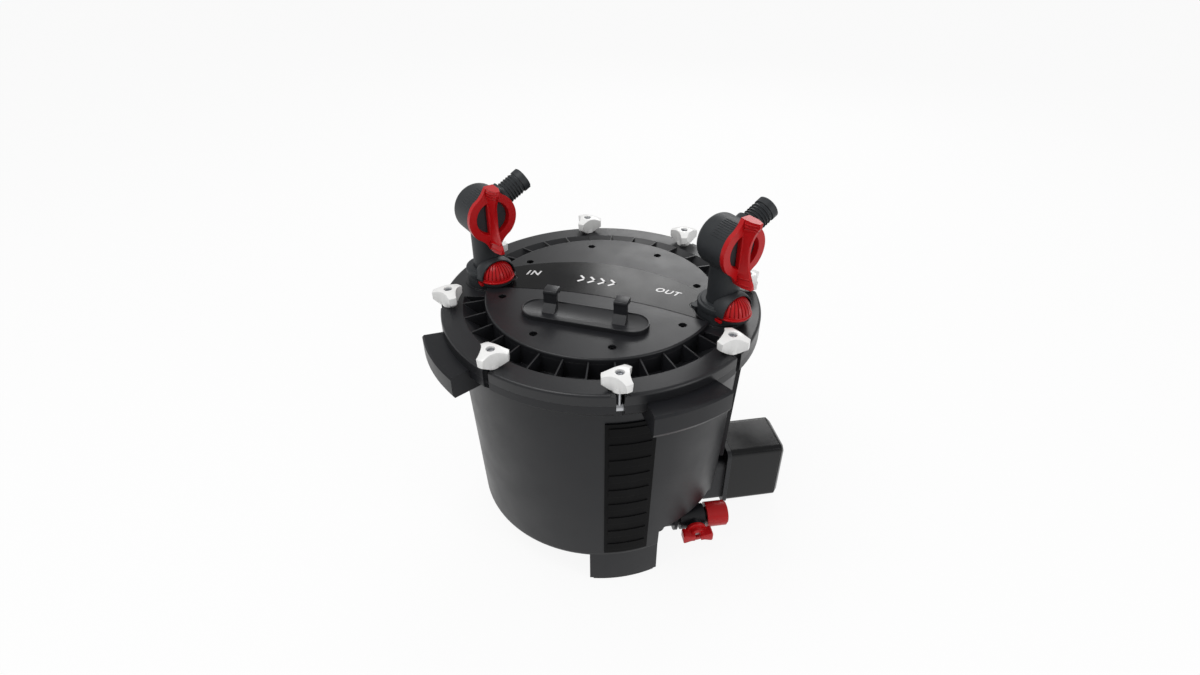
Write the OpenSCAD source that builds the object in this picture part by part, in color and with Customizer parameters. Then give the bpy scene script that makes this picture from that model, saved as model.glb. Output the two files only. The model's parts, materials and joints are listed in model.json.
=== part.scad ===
// Round external canister filter with a clamped lid, two shut-off valves,
// a side-mounted pump motor and a drain valve.
// Millimetres, +Z up. The origin is on the canister's axis, on the floor.
// Azimuths are in degrees: 0 is the front (-Y) and 90 is the right side (+X).

/* [Canister] */
// Height of the lid rim's top face above the floor
rim_top = 302; // [290:1:320]
// Outer radius of the lid rim and of the canister flange
rim_r = 176; // [170:0.5:190]
// Thickness of the canister flange under the lid
flange_h = 11.5; // [9:0.5:14]
// How far the rim reaches past the wall under the flange
wall_inset = 16; // [15:0.5:17]
// How far the wall draws in towards its lower edge
wall_taper = 11; // [9:0.5:12]
// Thickness of the canister wall
wall = 4; // [3:0.25:4.5]
// Height of the wall's lower edge above the floor
skirt_bottom = 40; // [34:1:46]
// Radius that rounds the wall's lower edge
edge_r = 8; // [4:0.5:10]
// Thickness of the tank's floor
floor_t = 4; // [3:0.5:5]
// Azimuth where the open bay under the floor begins
bay_from = 43; // [42:1:46]
// Azimuth where the open bay under the floor ends
bay_to = 132; // [131:1:132]
// Height that the rib above the motor stands proud of the wall
spine_h = 5; // [3:0.5:6]
// Angular width of the rib above the motor
spine_span = 28; // [20:1:34]

/* [Feet] */
// Azimuth of the front foot
foot_az = 27.5; // [26:0.5:27.5]
// Angular width of a foot, in steps that keep its sides off the bay's sides
foot_span = 31.5; // [24.5:1:31.5]
// Radial thickness of a foot
foot_depth = 21; // [16:1:26]
// Thickness of the rubber pad under a foot
pad_h = 3.5; // [2:0.5:6]
// Length of the motor's rubber foot along the motor
motor_pad_l = 22; // [16:1:30]
// Width of the motor's rubber foot
motor_pad_w = 30; // [20:1:40]

/* [Trim strip] */
// Distance of the front strip's lower end from the wall's rounded edge
strip_lift = 3; // [2:0.5:10]
// Distance of the front strip's upper end below the flare of the flange
strip_drop = 10.5; // [8:0.5:60]
// Angular width of the front strip
strip_span = 19; // [14:1:26]
// Thickness of the front strip
strip_t = 1.4; // [0.8:0.1:2.5]
// Number of raised bars on the front strip
strip_bars = 9; // [5:1:12]
// Height of each bar along the strip
bar_h = 11; // [7:0.5:13]
// Height of a bar above the strip
bar_t = 0.8; // [0.4:0.1:1.5]

/* [Handles] */
// Azimuth of each handle's middle, left and right of the front
handle_az = 43.3; // [42:0.1:44]
// Angular width of a handle
handle_span = 25.2; // [20:0.2:26]
// How far a handle reaches past the flange
handle_reach = 22; // [18:0.5:26]
// Height of a handle
handle_h = 25; // [22:0.5:30]
// Radial width of the finger pocket under a handle
grip_w = 13; // [11:0.5:14]
// Depth of the finger pocket under a handle
grip_depth = 17; // [12:0.5:19]

/* [Lid] */
// Thickness of the lid rim
lid_rim_h = 12.5; // [11:0.5:15]
// Distance of the ribbed trough's outer edge inside the rim
trough_inset = 24; // [22:0.5:26]
// Radial width of the ribbed trough, up to the centre disc
trough_w = 24; // [23:0.5:26]
// Depth of the ribbed trough
trough_depth = 18; // [14:0.5:20]
// Radial width of the trough's flat bottom
trough_flat = 3; // [2:0.5:5]
// Thickness of the lid's shell
lid_t = 5; // [4:0.25:5.5]
// Number of places for ribs round the trough
rib_count = 32; // [24:8:40]
// Thickness of a trough rib
rib_t = 1.6; // [1.2:0.1:2.5]
// Depth of the ring that enters the canister's mouth
plug_depth = 15.5; // [14:0.5:18]
// Radial thickness of the ring that enters the canister's mouth
plug_t = 7.5; // [7:0.25:8]
// Angular width of the solid land under each valve
land_span = 34; // [30:1:38]
// Section radius of the lid's sealing ring
seal_r = 2.2; // [1.8:0.1:2.4]

// Depth of the lid's two ports below the rim's top face
port_depth = 42; // [38:1:46]

/* [Lid disc] */
// Thickness of the centre disc
disc_t = 6.3; // [5.5:0.1:8]
// Number of disc screws
screw_count = 8; // [4:4:8]
// Distance of the disc screws inside the disc's edge
screw_inset = 19.5; // [16:0.5:21]
// Radius of a disc screw's head
screw_head_r = 4; // [3.5:0.1:4.4]
// Radius of a disc screw's shank
screw_r = 2; // [1.6:0.1:2.4]
// Distance of the arched band's rear edge behind the axis
band_back = 62; // [56:1:64]
// Radius of the arched band's rear edge
band_back_r = 187; // [180:1:195]
// Distance of the arched band's front edge before the axis
band_front = 10; // [6:1:14]
// Radius of the arched band's front edge
band_front_r = 432; // [380:4:480]
// Thickness of the arched band
band_t = 1.2; // [0.8:0.1:2]
// Distance of the hook plate in front of the axis
hook_y = 59; // [56:1:62]
// Length of the hook plate
hook_plate_l = 138; // [120:1:140]
// Width of the hook plate
hook_plate_w = 36; // [30:1:38]
// Thickness of the hook plate
hook_plate_t = 4.2; // [3:0.2:6]
// Distance between the two hooks
hook_gap = 76; // [60:1:84]
// Height of a hook above its plate
hook_h = 22; // [16:1:30]
// Width of a hook
hook_w = 14; // [10:1:18]
// Thickness of a hook's blade
hook_t = 5; // [4:0.5:7]
// How far a hook's nose reaches back
hook_nose = 9; // [6:0.5:12]

/* [Clamps] */
// Distance of the clamp bolts inside the rim
clamp_inset = 10; // [9.5:0.25:10.5]
// Azimuth of the first clamp
clamp_az = 22.5; // [22:0.25:23]
// Diameter of a clamp bolt
bolt_d = 6; // [5:0.25:6.5]
// Depth of a bolt's pivot below the rim's top face
pivot_drop = 21; // [20:0.25:22]
// Radius of the cross pin of a clamp bolt
pin_r = 2; // [1.6:0.1:2.4]
// Length of the cross pin of a clamp bolt
pin_l = 20; // [17:0.5:24]
// Radius of the eye at a bolt's lower end
eye_r = 4.6; // [4:0.1:4.8]
// Width of the slots in rim and flange
slot_w = 8; // [7.5:0.1:9]
// Height of a clamp knob's wings
knob_h = 17.5; // [14:0.5:20]
// Reach of a clamp knob's wings from its axis
knob_reach = 17.5; // [15:0.5:19]
// Width of a clamp knob's wings
knob_wing_w = 11; // [9:0.5:13]
// Radius of the flat boss under a clamp knob
boss_r = 8; // [7:0.25:9]
// Height of the flat boss under a clamp knob
boss_h = 1.6; // [1.4:0.1:2.5]

/* [Valves] */
// Distance of each valve's axis inside the wall's lower edge
valve_inset = 15.5; // [15:0.5:16.5]
// Azimuth that the valve levers face
valve_face_az = 51; // [45:1:60]
// Height of the land's round pad above the rim
valve_pad_h = 1.5; // [1:0.1:2.5]
// Radius of a valve's round housing
drum_r = 27; // [25:0.5:29]
// How far a valve's housing reaches behind its axis
drum_back = 22.5; // [20:0.5:23]
// Radius that rounds the back of a valve's housing
drum_edge_r = 8; // [4:0.5:9]
// Height of the valve housing's axis above the rim
drum_rise = 84.5; // [78:0.5:90]
// Radius of a valve's neck
neck_r = 16.75; // [15.75:0.25:17.5]
// Radius of a valve's foot inside the collar
foot_r = 18; // [17.5:0.1:18.5]
// Height of a valve's foot inside the collar
valve_foot_h = 13; // [12:0.5:14]
// Outer radius of a valve collar
collar_r = 25; // [24.5:0.25:26]
// Height of a valve collar
collar_h = 16; // [15:0.5:18]
// Thickness of a lock clip's fork
fork_t = 3; // [2.5:0.1:3.4]
// Radius of a valve ball
ball_r = 14; // [13:0.25:14.5]
// Radius of the water way through the valves
bore_r = 8.5; // [7.5:0.25:8.75]
// Radius of a valve's stem
stem_r = 5; // [4:0.25:6]
// Radius of a lever's ring
ring_r = 28; // [26:0.5:30]
// Width of a lever's ring
ring_w = 7.5; // [6:0.5:9]
// Thickness of a lever's ring
ring_t = 6; // [5:0.25:8]
// Half of the length of a lever's handle bar
lever_half = 36; // [33:0.5:40]
// Height of a lever's handle bar above the ring, at its middle
lever_bar_h = 6; // [4:0.5:9]
// How far the ends of a lever's handle bar rise above its middle
lever_tip_h = 10; // [6:0.5:12]
// Thickness of a lever's handle bar
lever_bar_t = 8; // [6:0.5:9]
// Slope of the hose tails above level
tail_slope = 28; // [20:1:34]
// Length of a hose tail outside its socket
tail_l = 29.5; // [28:0.5:40]
// Radius of a hose tail at its barbs
barb_r = 12.5; // [12:0.1:13]
// Radius of a hose tail between its barbs
tail_r = 11.2; // [10.75:0.1:11.5]
// Number of barbs on a hose tail
barb_count = 5; // [3:1:6]

/* [Motor and pump] */
// Azimuth that the motor points to
motor_az = 116; // [114:0.5:118]
// Distance of the motor's shaft line from the canister's axis
motor_shift = 25; // [22:1:28]
// Height of the motor's axis above the floor
motor_z = 47; // [46:0.5:50]
// Width of the motor housing
motor_w = 64; // [60:1:68]
// Height of the motor housing
motor_h = 86; // [80:1:88]
// Length of the motor housing without its end cap
motor_l = 65; // [62:1:76]
// Thickness of the motor's end cap
cap_t = 6; // [4:0.5:9]
// Rounding of the motor's long edges
motor_edge_r = 7; // [4:0.5:10]
// Wall of the motor housing
motor_wall = 3; // [2:0.25:4]
// Thickness of the flange that carries the motor
motor_flange_t = 5.5; // [4:0.5:7]
// Length of the square part of the pump's casing beside the motor
cowl_l = 24; // [16:1:26]
// Outer radius of the pump chamber's casing
pump_r = 24.5; // [24:0.25:27]
// Wall of the pump chamber's casing
pump_wall = 3; // [2.5:0.25:3.5]
// Radius of the impeller
impeller_r = 20; // [17:0.5:20.5]
// Number of impeller vanes
vane_count = 6; // [5:1:8]
// Radius of the rotor magnet
magnet_r = 12; // [10:0.5:13]
// Length of the rotor magnet
magnet_l = 36; // [28:1:38]
// Radius of the impeller shaft
shaft_r = 2; // [1.5:0.25:2.5]

/* [Drain] */
// Distance of the drain port inside the wall's lower edge
drain_inset = 30; // [28:0.5:32]
// Azimuth at which the drain leaves the tank
drain_port_az = 51; // [50:0.5:52]
// Direction of the drain valve, counter-clockwise from +X
drain_dir = 25; // [22:0.5:32]
// Height of the drain valve's axis above the floor
drain_z = 46; // [42:0.5:49]
// Radius of the drain valve's housing
drain_r = 14; // [13.5:0.25:15]
// Radius of the drain valve's ball
drain_ball_r = 10; // [9:0.25:10.5]
// Radius of the drain's water way
drain_bore_r = 6.5; // [5.5:0.25:7]
// Distance of the drain valve's ball from the drain port
drain_reach = 43; // [42:0.5:50]
// Length of the drain knob's wing
drain_wing_l = 36; // [28:1:38]
// Length of the drain cap
drain_cap_l = 26; // [20:0.5:28]
// Radius of the drain cap
drain_cap_r = 15; // [13:0.25:15.5]

/* [Inside] */
// Outer radius of the return pipe
riser_r = 11; // [10.5:0.25:11.5]
// Clearance between a basket's tray and the wall
tray_gap = 5.5; // [4:0.5:8]
// How far a basket's tray reaches past its cup
tray_rim = 29; // [27:0.5:34]
// Free height between the basket's grip and the lid
head_room = 16; // [10:1:30]
// Width of the basket's grip
basket_grip_w = 64; // [50:1:80]
// Height of the basket's grip
basket_grip_h = 26; // [20:1:30]
// Thickness of the basket's grip
basket_grip_t = 5.5; // [4:0.5:7]
// Depth of the basket's grip
basket_grip_d = 14; // [10:1:18]
// Thickness of a media basket's walls
basket_t = 3; // [2:0.25:4]
// Height of the lower basket's legs
basket_leg_h = 8; // [6:1:12]
// Radial thickness of the foam blocks
foam_t = 22; // [16:1:23]
// Number of rows of holes in the baskets
hole_rows = 3; // [2:1:4]

/* [Hidden] */
$fn = 96;

// Radial clearance of a running fit
fit = 0.05;
// Clearance between pieces that don't touch
gap = 0.3;
// Extra length of a cutting tool past the face that it cuts
over = 1;
// Edge rounding of the lid rim
rim_edge = 3;
// Chamfer of the flange and of the handles
chamfer = 2;

// Number of feet moulded on the wall, one at each side of the open bay
foot_count = 3;
// Number of clamps round the rim
clamp_count = 8;

body_r_top = rim_r - wall_inset;
body_r_bottom = body_r_top - wall_taper;
clamp_r = rim_r - clamp_inset;
trough_r = rim_r - trough_inset;
disc_r = trough_r - trough_w;
screw_circle_r = disc_r - screw_inset;
valve_r = body_r_bottom - valve_inset;
drain_port_r = body_r_bottom - drain_inset;

seam_z = rim_top - lid_rim_h;
flange_z = seam_z - flange_h;
flare_z = seam_z - handle_h;
strip_top = flare_z - strip_drop;
wall_low_z = skirt_bottom + edge_r;
mouth_r = body_r_top - wall;
floor_under = motor_z + pump_r + 2 * gap;
floor_top = floor_under + floor_t;
lip_r = body_r_bottom - edge_r - wall;
handle_r = rim_r + handle_reach;
bay_mid = (bay_from + bay_to) / 2;
bay_span = bay_to - bay_from;
bay_inner_r = 60;

pivot_z = rim_top - pivot_drop;
slot_in_r = clamp_r - eye_r - 2 * gap;
clamp_step = 360 / clamp_count;
knob_z = rim_top + gap;
// Resting turn of each clamp knob
knob_turn = [10, 75, 40, 95, 25, 60, 110, 20];
knob_top = knob_z + boss_h + knob_h;

trough_z = rim_top - trough_depth;
trough_slope_r = disc_r + trough_flat;
plug_r = mouth_r - gap;
plug_z = seam_z - plug_depth;
disc_top = rim_top + disc_t;
band_recess = band_t - gap;
pad_r = collar_r + 3;
pad_top = rim_top + valve_pad_h;
screw_grip = 4;

drum_z = rim_top + drum_rise;
fork_z = disc_top + 2 * gap;
collar_base_h = disc_top - pad_top + 2 * gap + fork_t + 3;
lug_r = 5;
lug_x = collar_r + 2;
lug_h = fork_z - 2 * gap - pad_top + 2;
fork_in_r = foot_r - 2;
fork_half_w = foot_r + 3;
collar_step = 3.5;
clip_dome_r = 18;
drum_front = neck_r + gap;
drum_l = drum_back + drum_front;
lever_x = drum_front + gap;
lever_front = lever_x + ring_t + lever_bar_h;
socket_depth = 5;
outlet_end = drum_r + 2;
port_z = rim_top - port_depth;
port_r = riser_r + 3.2;
riser_seat = 8;

motor_in = wall_r(motor_z + motor_h / 2 + chamfer) + 2 * gap;
motor_face = motor_in + motor_flange_t;
motor_out = motor_face + motor_l;
cavity_r = pump_r - pump_wall;
throat_x = 96;
throat_r = 11;
throat_z = motor_z - throat_r;
eye_x = 108;
eye_hole_r = 10;
cover_t = 3;
vane_x = eye_x + cover_t + 3;
vane_h = 13;
vane_t = 2;
plate_x = vane_x + vane_h;
plate_t = 2.5;
magnet_x = motor_face + motor_wall + over;
can_in_r = magnet_r + 0.8;
can_out_r = can_in_r + 2;
can_end = magnet_x + magnet_l + 3;
shaft_end = can_end + 2;
can_cap = 2;
duct_z = motor_z + 9;
duct_r = bore_r + pump_wall;
riser_x = valve_r * sin(motor_az);
riser_y = valve_r * cos(motor_az) + motor_shift;
motor_seat_az = motor_az - atan(motor_shift / motor_in);
cowl_z0 = motor_z - motor_h / 2 + chamfer;
cowl_z1 = floor_under - gap;
stator_w = motor_w - 2 * motor_wall - 8;
stator_h = motor_h - 2 * motor_wall - 10;
motor_boss_r = 4.9;
motor_boss_l = 16;
motor_screw_y = motor_w / 2 - motor_wall - motor_boss_r + 0.5;
motor_screw_z = motor_h / 2 - motor_wall - motor_boss_r + 0.5;
motor_screw_r = 1.8;
motor_screw_l = 11;
motor_screw_head_r = 3.2;
motor_screw_head_h = 1.8;
gland_l = 11;
gland_r = 5.5;
gland_flange_r = 8;
gland_flange_t = 3;
cord_r = 3.2;

drain_wall = 3.5;
drain_body_from = drain_reach - 16;
drain_body_to = drain_reach + 14;
nipple_r = drain_bore_r + 2.5;
nipple_end = drain_body_to + 12;
drain_cap_from = drain_body_to + 3;
drain_pipe_r = drain_bore_r + drain_wall;
drain_boss_h = 6;
drain_knob_y = drain_r + drain_boss_h + gap;
drain_hub_h = 6;
drain_wing_h = 14;
drain_wing_w = 10;
drain_hub_r = 11;
drain_slot_w = 6;
drain_slot_d = 8;
drain_boss_r = 9;
drain_ring_t = 4;
drain_stem_r = 3.5;
drain_stem_end = drain_knob_y + drain_hub_h + gap;
drain_stem_from = drain_ball_r - 2.5;
drain_stem_l = drain_stem_end - drain_stem_from;
drain_stem_mid = (drain_stem_end + drain_stem_from) / 2;

tray_z = floor_top + basket_leg_h;
tray_r = wall_r(floor_top) - wall - tray_gap;
basket_r = tray_r - tray_rim;
basket_h = (rim_top - lid_t - head_room - basket_grip_h - basket_t - tray_z) / 2;
upper_tray_z = tray_z + basket_h;
cover_z = upper_tray_z + basket_h;
foam_in_r = basket_r + gap;
foam_out_r = foam_in_r + foam_t;
notch_half = riser_r + 3;
basket_hole_r = 6;
leg_r = 5;

// Outer radius of the tapered wall at height z
function wall_r(z) = body_r_bottom
    + (z - wall_low_z) * (body_r_top - body_r_bottom) / (flare_z - wall_low_z);
// True for an azimuth that lies on a valve's land
function on_land(az) = min(abs(az - 90), abs(az - 270)) < land_span / 2;

// Turns the children so that +X points to an azimuth, r away from the axis
module at_az(az, r = 0) {
    rotate([0, 0, az - 90]) translate([r, 0, 0]) children();
}

// Frame of pump and motor: +X runs out along the shaft
module at_motor() {
    at_az(motor_az) translate([0, -motor_shift, 0]) children();
}

// Repeats the children at each clamp
module at_clamps() {
    for (i = [0 : clamp_count - 1]) at_az(clamp_az + i * clamp_step, clamp_r) children();
}

// A wedge about the axis, for spans below 180 degrees
module wedge(az, span, r, z0, z1) {
    at_az(az) translate([0, 0, z0]) linear_extrude(z1 - z0)
        polygon([[0, 0], [r, -r * tan(span / 2)], [r, r * tan(span / 2)]]);
}

// A flat ring
module ring(r_in, r_out, z0, z1) {
    translate([0, 0, z0]) difference() {
        cylinder(r = r_out, h = z1 - z0);
        translate([0, 0, -over]) cylinder(r = r_in, h = z1 - z0 + 2 * over);
    }
}

// A cylinder along +X from x0 to x1 at height z
module x_rod(r, x0, x1, z = 0) {
    translate([x0, 0, z]) rotate([0, 90, 0]) cylinder(r = r, h = x1 - x0);
}

// A cylinder along Y about y = 0
module y_rod(r, l) {
    rotate([90, 0, 0]) cylinder(r = r, h = l, center = true);
}

// A rectangle with round corners, about the origin
module round_rect(w, h, r) {
    square([w - 2 * r, h], center = true);
    square([w, h - 2 * r], center = true);
    for (x = [-1, 1], y = [-1, 1]) translate([x * (w / 2 - r), y * (h / 2 - r)]) circle(r);
}

// A bar with round long edges, along +X from x0 to x1, about height z
module round_bar(x0, x1, w, h, r, z) {
    translate([x0, 0, z]) rotate([90, 0, 90]) linear_extrude(x1 - x0) round_rect(w, h, r);
}

// Outer outline of the canister, to be turned about the axis
module canister_outline() {
    polygon([
        [0, wall_low_z], [body_r_bottom, wall_low_z], [body_r_top, flare_z],
        [rim_r - chamfer, flange_z], [rim_r, flange_z + chamfer], [rim_r, seam_z], [0, seam_z]
    ]);
    translate([body_r_bottom - edge_r, wall_low_z]) circle(edge_r);
    translate([0, skirt_bottom]) square([body_r_bottom - edge_r, edge_r]);
}

// Water space of the canister, to be turned about the axis
module tank_outline() {
    polygon([
        [0, floor_top], [wall_r(floor_top) - wall, floor_top], [mouth_r, flare_z],
        [mouth_r, seam_z + over], [0, seam_z + over]
    ]);
}

// Hollow under the floor, to be turned about the axis
module skirt_outline() {
    polygon([
        [0, skirt_bottom - over], [lip_r, skirt_bottom - over], [lip_r, wall_low_z - chamfer],
        [wall_r(wall_low_z + chamfer) - wall, wall_low_z + chamfer],
        [wall_r(floor_under) - wall, floor_under], [0, floor_under]
    ]);
}

// Slot, pin bore and pin cradle that each clamp bolt needs in the flange
module clamp_cuts() {
    translate([slot_in_r - clamp_r, -slot_w / 2, flare_z])
        cube([rim_r, slot_w, rim_top - flare_z + over]);
    translate([0, 0, pivot_z]) y_rod(pin_r + fit, pin_l + 2 * gap);
    translate([-pin_r - fit, -pin_l / 2 - gap, flare_z])
        cube([2 * (pin_r + fit), pin_l + 2 * gap, pivot_z - flare_z]);
}

module canister_body() {
    color("#33353a") difference() {
        union() {
            rotate_extrude() difference() {
                canister_outline();
                tank_outline();
                skirt_outline();
            }
            for (i = [0 : foot_count - 1]) intersection() {
                ring(body_r_bottom - foot_depth, body_r_bottom - gap, pad_h, floor_under + over);
                wedge(foot_az + i * 360 / foot_count, foot_span, rim_r, 0, floor_top);
            }
            intersection() {
                rotate_extrude() polygon([
                    [wall_r(motor_z + motor_h / 2) - over, motor_z + motor_h / 2 + 4],
                    [wall_r(motor_z + motor_h / 2) + spine_h, motor_z + motor_h / 2 + 4],
                    [body_r_top + spine_h, flare_z + spine_h],
                    [body_r_top - over, flare_z + spine_h]
                ]);
                wedge(motor_seat_az, spine_span, rim_r, floor_top, flange_z);
            }
        }
        intersection() {
            ring(bay_inner_r, rim_r, -over, floor_under);
            wedge(bay_mid, bay_span, 2 * rim_r, -2 * over, floor_top);
        }
        at_clamps() clamp_cuts();
        at_motor() translate([throat_x, 0, floor_under - over])
            cylinder(r = throat_r, h = floor_t + 2 * over);
        translate([valve_r, 0, floor_under - over])
            cylinder(r = riser_r + fit, h = floor_t + 2 * over);
        at_az(drain_port_az, drain_port_r) translate([0, 0, floor_under - over])
            cylinder(r = drain_bore_r, h = floor_t + 2 * over);
    }
}

// A part of the wall's cone, out by o0 to o1, between two heights
module cone_patch(span, o0, o1, z0, z1) {
    intersection() {
        rotate_extrude() polygon([
            [wall_r(z0) + o0, z0], [wall_r(z0) + o1, z0], [wall_r(z1) + o1, z1], [wall_r(z1) + o0, z1]
        ]);
        wedge(foot_az, span, rim_r, z0 - over, z1 + over);
    }
}

module front_trim() {
    strip_z = wall_low_z + strip_lift;
    step = (strip_top - strip_z) / strip_bars;
    color("#17181b") {
        cone_patch(strip_span, fit, fit + strip_t, strip_z, strip_top);
        for (i = [0 : strip_bars - 1])
            cone_patch(strip_span - 3, strip_t / 2, fit + strip_t + bar_t,
                strip_z + i * step + (step - bar_h) / 2, strip_z + i * step + (step + bar_h) / 2);
    }
}

module rubber_feet() {
    color("#1b1b1d") {
        for (i = [0 : foot_count - 1]) intersection() {
            ring(body_r_bottom - foot_depth + chamfer, body_r_bottom - chamfer, 0, pad_h);
            wedge(foot_az + i * 360 / foot_count, foot_span - 3, rim_r, -over, pad_h + over);
        }
        at_motor() translate([(motor_face + 2 * motor_out) / 3, 0, (motor_z - motor_h / 2) / 2])
            cube([motor_pad_l, motor_pad_w, motor_z - motor_h / 2], center = true);
    }
}

// One handle, with its finger pocket open downwards
module handle(az) {
    color("#2c2e32") difference() {
        intersection() {
            rotate_extrude() polygon([
                [rim_r + fit, seam_z], [handle_r - chamfer, seam_z], [handle_r, seam_z - chamfer],
                [handle_r, flare_z + 2 * chamfer], [handle_r - chamfer, flare_z],
                [body_r_top + chamfer * gap, flare_z],
                [rim_r - chamfer + chamfer * gap, flange_z], [rim_r + fit, flange_z + chamfer]
            ]);
            wedge(az, handle_span, 2 * rim_r, flare_z - over, seam_z + over);
        }
        intersection() {
            ring(handle_r - 2 * chamfer - grip_w, handle_r - 2 * chamfer,
                flare_z - over, flare_z + grip_depth);
            wedge(az, handle_span - 5, 2 * rim_r, flare_z - 2 * over, seam_z);
        }
    }
}

module left_handle() handle(-handle_az);

module right_handle() handle(handle_az);

module pump_housing() {
    color("#26282c") at_motor() difference() {
        union() {
            x_rod(pump_r, throat_x, motor_in + over, motor_z);
            round_bar(motor_in - cowl_l, motor_in + over, motor_w - 3 * chamfer, cowl_z1 - cowl_z0,
                motor_edge_r, (cowl_z0 + cowl_z1) / 2);
            translate([throat_x, 0, throat_z - pump_wall])
                cylinder(r = throat_r + pump_wall, h = floor_under - throat_z + pump_wall);
            round_bar(motor_in, motor_face, motor_w + 2 * chamfer, motor_h + chamfer, motor_edge_r,
                motor_z);
            at_riser() translate([0, 0, duct_z - duct_r])
                cylinder(r = riser_r + pump_wall, h = floor_under - duct_z + duct_r);
            outlet_duct(duct_r);
        }
        x_rod(cavity_r, eye_x, motor_face + over, motor_z);
        x_rod(eye_hole_r, throat_x, eye_x + over, motor_z);
        translate([throat_x, 0, throat_z]) cylinder(r = throat_r, h = floor_top - throat_z);
        outlet_duct(bore_r);
        at_riser() translate([0, 0, duct_z]) cylinder(r = bore_r, h = floor_top - duct_z);
        at_riser() translate([0, 0, floor_under - riser_seat - gap])
            cylinder(r = riser_r + fit, h = 2 * riser_seat);
    }
}

// The return pipe's place, seen from the motor's own direction
module at_riser() translate([riser_x, riser_y, 0]) children();

// The way from the pump chamber to the return pipe
module outlet_duct(r) {
    translate([riser_x, riser_y, duct_z]) rotate([-90, 0, 0]) cylinder(r = r, h = -riser_y);
}

module impeller_cover() {
    color("#8d9094") at_motor() difference() {
        union() {
            difference() {
                x_rod(cavity_r - fit, eye_x, eye_x + cover_t, motor_z);
                x_rod(eye_hole_r, eye_x - over, eye_x + cover_t + over, motor_z);
            }
            x_rod(shaft_r + 2, eye_x, eye_x + cover_t, motor_z);
            for (a = [0, 60, 120]) translate([eye_x + cover_t / 2, 0, motor_z]) rotate([a, 0, 0])
                cube([cover_t, 2, 2 * eye_hole_r + 2], center = true);
        }
        x_rod(shaft_r + fit / 2, eye_x - over, eye_x + cover_t + over, motor_z);
    }
}

module impeller() {
    color("#d8dadc") at_motor() difference() {
        union() {
            x_rod(impeller_r, plate_x, plate_x + plate_t, motor_z);
            for (i = [0 : vane_count - 1])
                translate([vane_x, 0, motor_z]) rotate([i * 360 / vane_count, 0, 0])
                    translate([0, -vane_t / 2, shaft_r])
                    cube([vane_h + over, vane_t, impeller_r - shaft_r - over]);
            x_rod(shaft_r + 3, vane_x, magnet_x + over, motor_z);
            x_rod(magnet_r, magnet_x, magnet_x + magnet_l, motor_z);
        }
        x_rod(shaft_r + fit, vane_x - over, can_end, motor_z);
    }
}

module impeller_shaft() {
    color("#e9e6df") at_motor() x_rod(shaft_r, eye_x, shaft_end, motor_z);
}

// Repeats the children at each screw of the end cap
module at_motor_screws() {
    for (y = [-1, 1], z = [-1, 1])
        translate([0, y * motor_screw_y, motor_z + z * motor_screw_z]) children();
}

module motor_housing() {
    color("#2a2c30") at_motor() difference() {
        union() {
            difference() {
                round_bar(motor_face, motor_out, motor_w, motor_h, motor_edge_r, motor_z);
                round_bar(motor_face + motor_wall, motor_out + over, motor_w - 2 * motor_wall,
                    motor_h - 2 * motor_wall, motor_edge_r - motor_wall, motor_z);
            }
            x_rod(can_out_r, motor_face + over, shaft_end + can_cap, motor_z);
            at_motor_screws() x_rod(motor_boss_r, motor_out - motor_boss_l, motor_out);
        }
        x_rod(can_in_r, motor_face - over, can_end, motor_z);
        x_rod(shaft_r + fit / 2, can_end - over, shaft_end, motor_z);
        at_motor_screws() x_rod(motor_screw_r + fit / 2, motor_out - motor_screw_l - over, motor_out + over);
    }
}

module motor_end_cap() {
    color("#3a3d42") at_motor() difference() {
        union() {
            round_bar(motor_out, motor_out + cap_t / 2, motor_w, motor_h, motor_edge_r, motor_z);
            round_bar(motor_out + cap_t / 2, motor_out + cap_t, motor_w - 2 * chamfer,
                motor_h - 2 * chamfer, motor_edge_r - chamfer, motor_z);
        }
        at_motor_screws() x_rod(motor_screw_r + fit, motor_out - over, motor_out + cap_t + over);
    }
}

module stator() {
    color("#a8622c") at_motor() difference() {
        union() {
            translate([magnet_x + magnet_l / 2, 0, motor_z])
                cube([magnet_l, stator_w, stator_h], center = true);
            for (y = [-1, 1]) translate([magnet_x + magnet_l / 2, y * stator_w / 3, motor_z])
                cube([magnet_l - 8, stator_w / 3, stator_h + 6], center = true);
        }
        x_rod(can_out_r + fit, magnet_x - over, magnet_x + magnet_l + over, motor_z);
    }
}

module cable_gland() {
    color("#1c1d20") at_motor() translate([motor_out - 2 * gland_flange_r, motor_w / 2, motor_z])
        rotate([-90, 0, 0]) difference() {
            union() {
                cylinder(r = gland_flange_r, h = gland_flange_t);
                cylinder(r = gland_r, h = gland_l);
            }
            translate([0, 0, gland_flange_t - over]) cylinder(r = cord_r, h = gland_l);
        }
}

module motor_screws() {
    color("#b9bcc0") at_motor() at_motor_screws() {
        x_rod(motor_screw_r, motor_out - motor_screw_l, motor_out + cap_t + over);
        x_rod(motor_screw_head_r, motor_out + cap_t, motor_out + cap_t + motor_screw_head_h);
    }
}

// Frame of the drain valve: +X is the way of the water, -Y is the knob's side
module at_drain() {
    at_az(drain_port_az, drain_port_r) rotate([0, 0, drain_dir - drain_port_az + 90])
        translate([0, 0, drain_z]) children();
}

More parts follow.
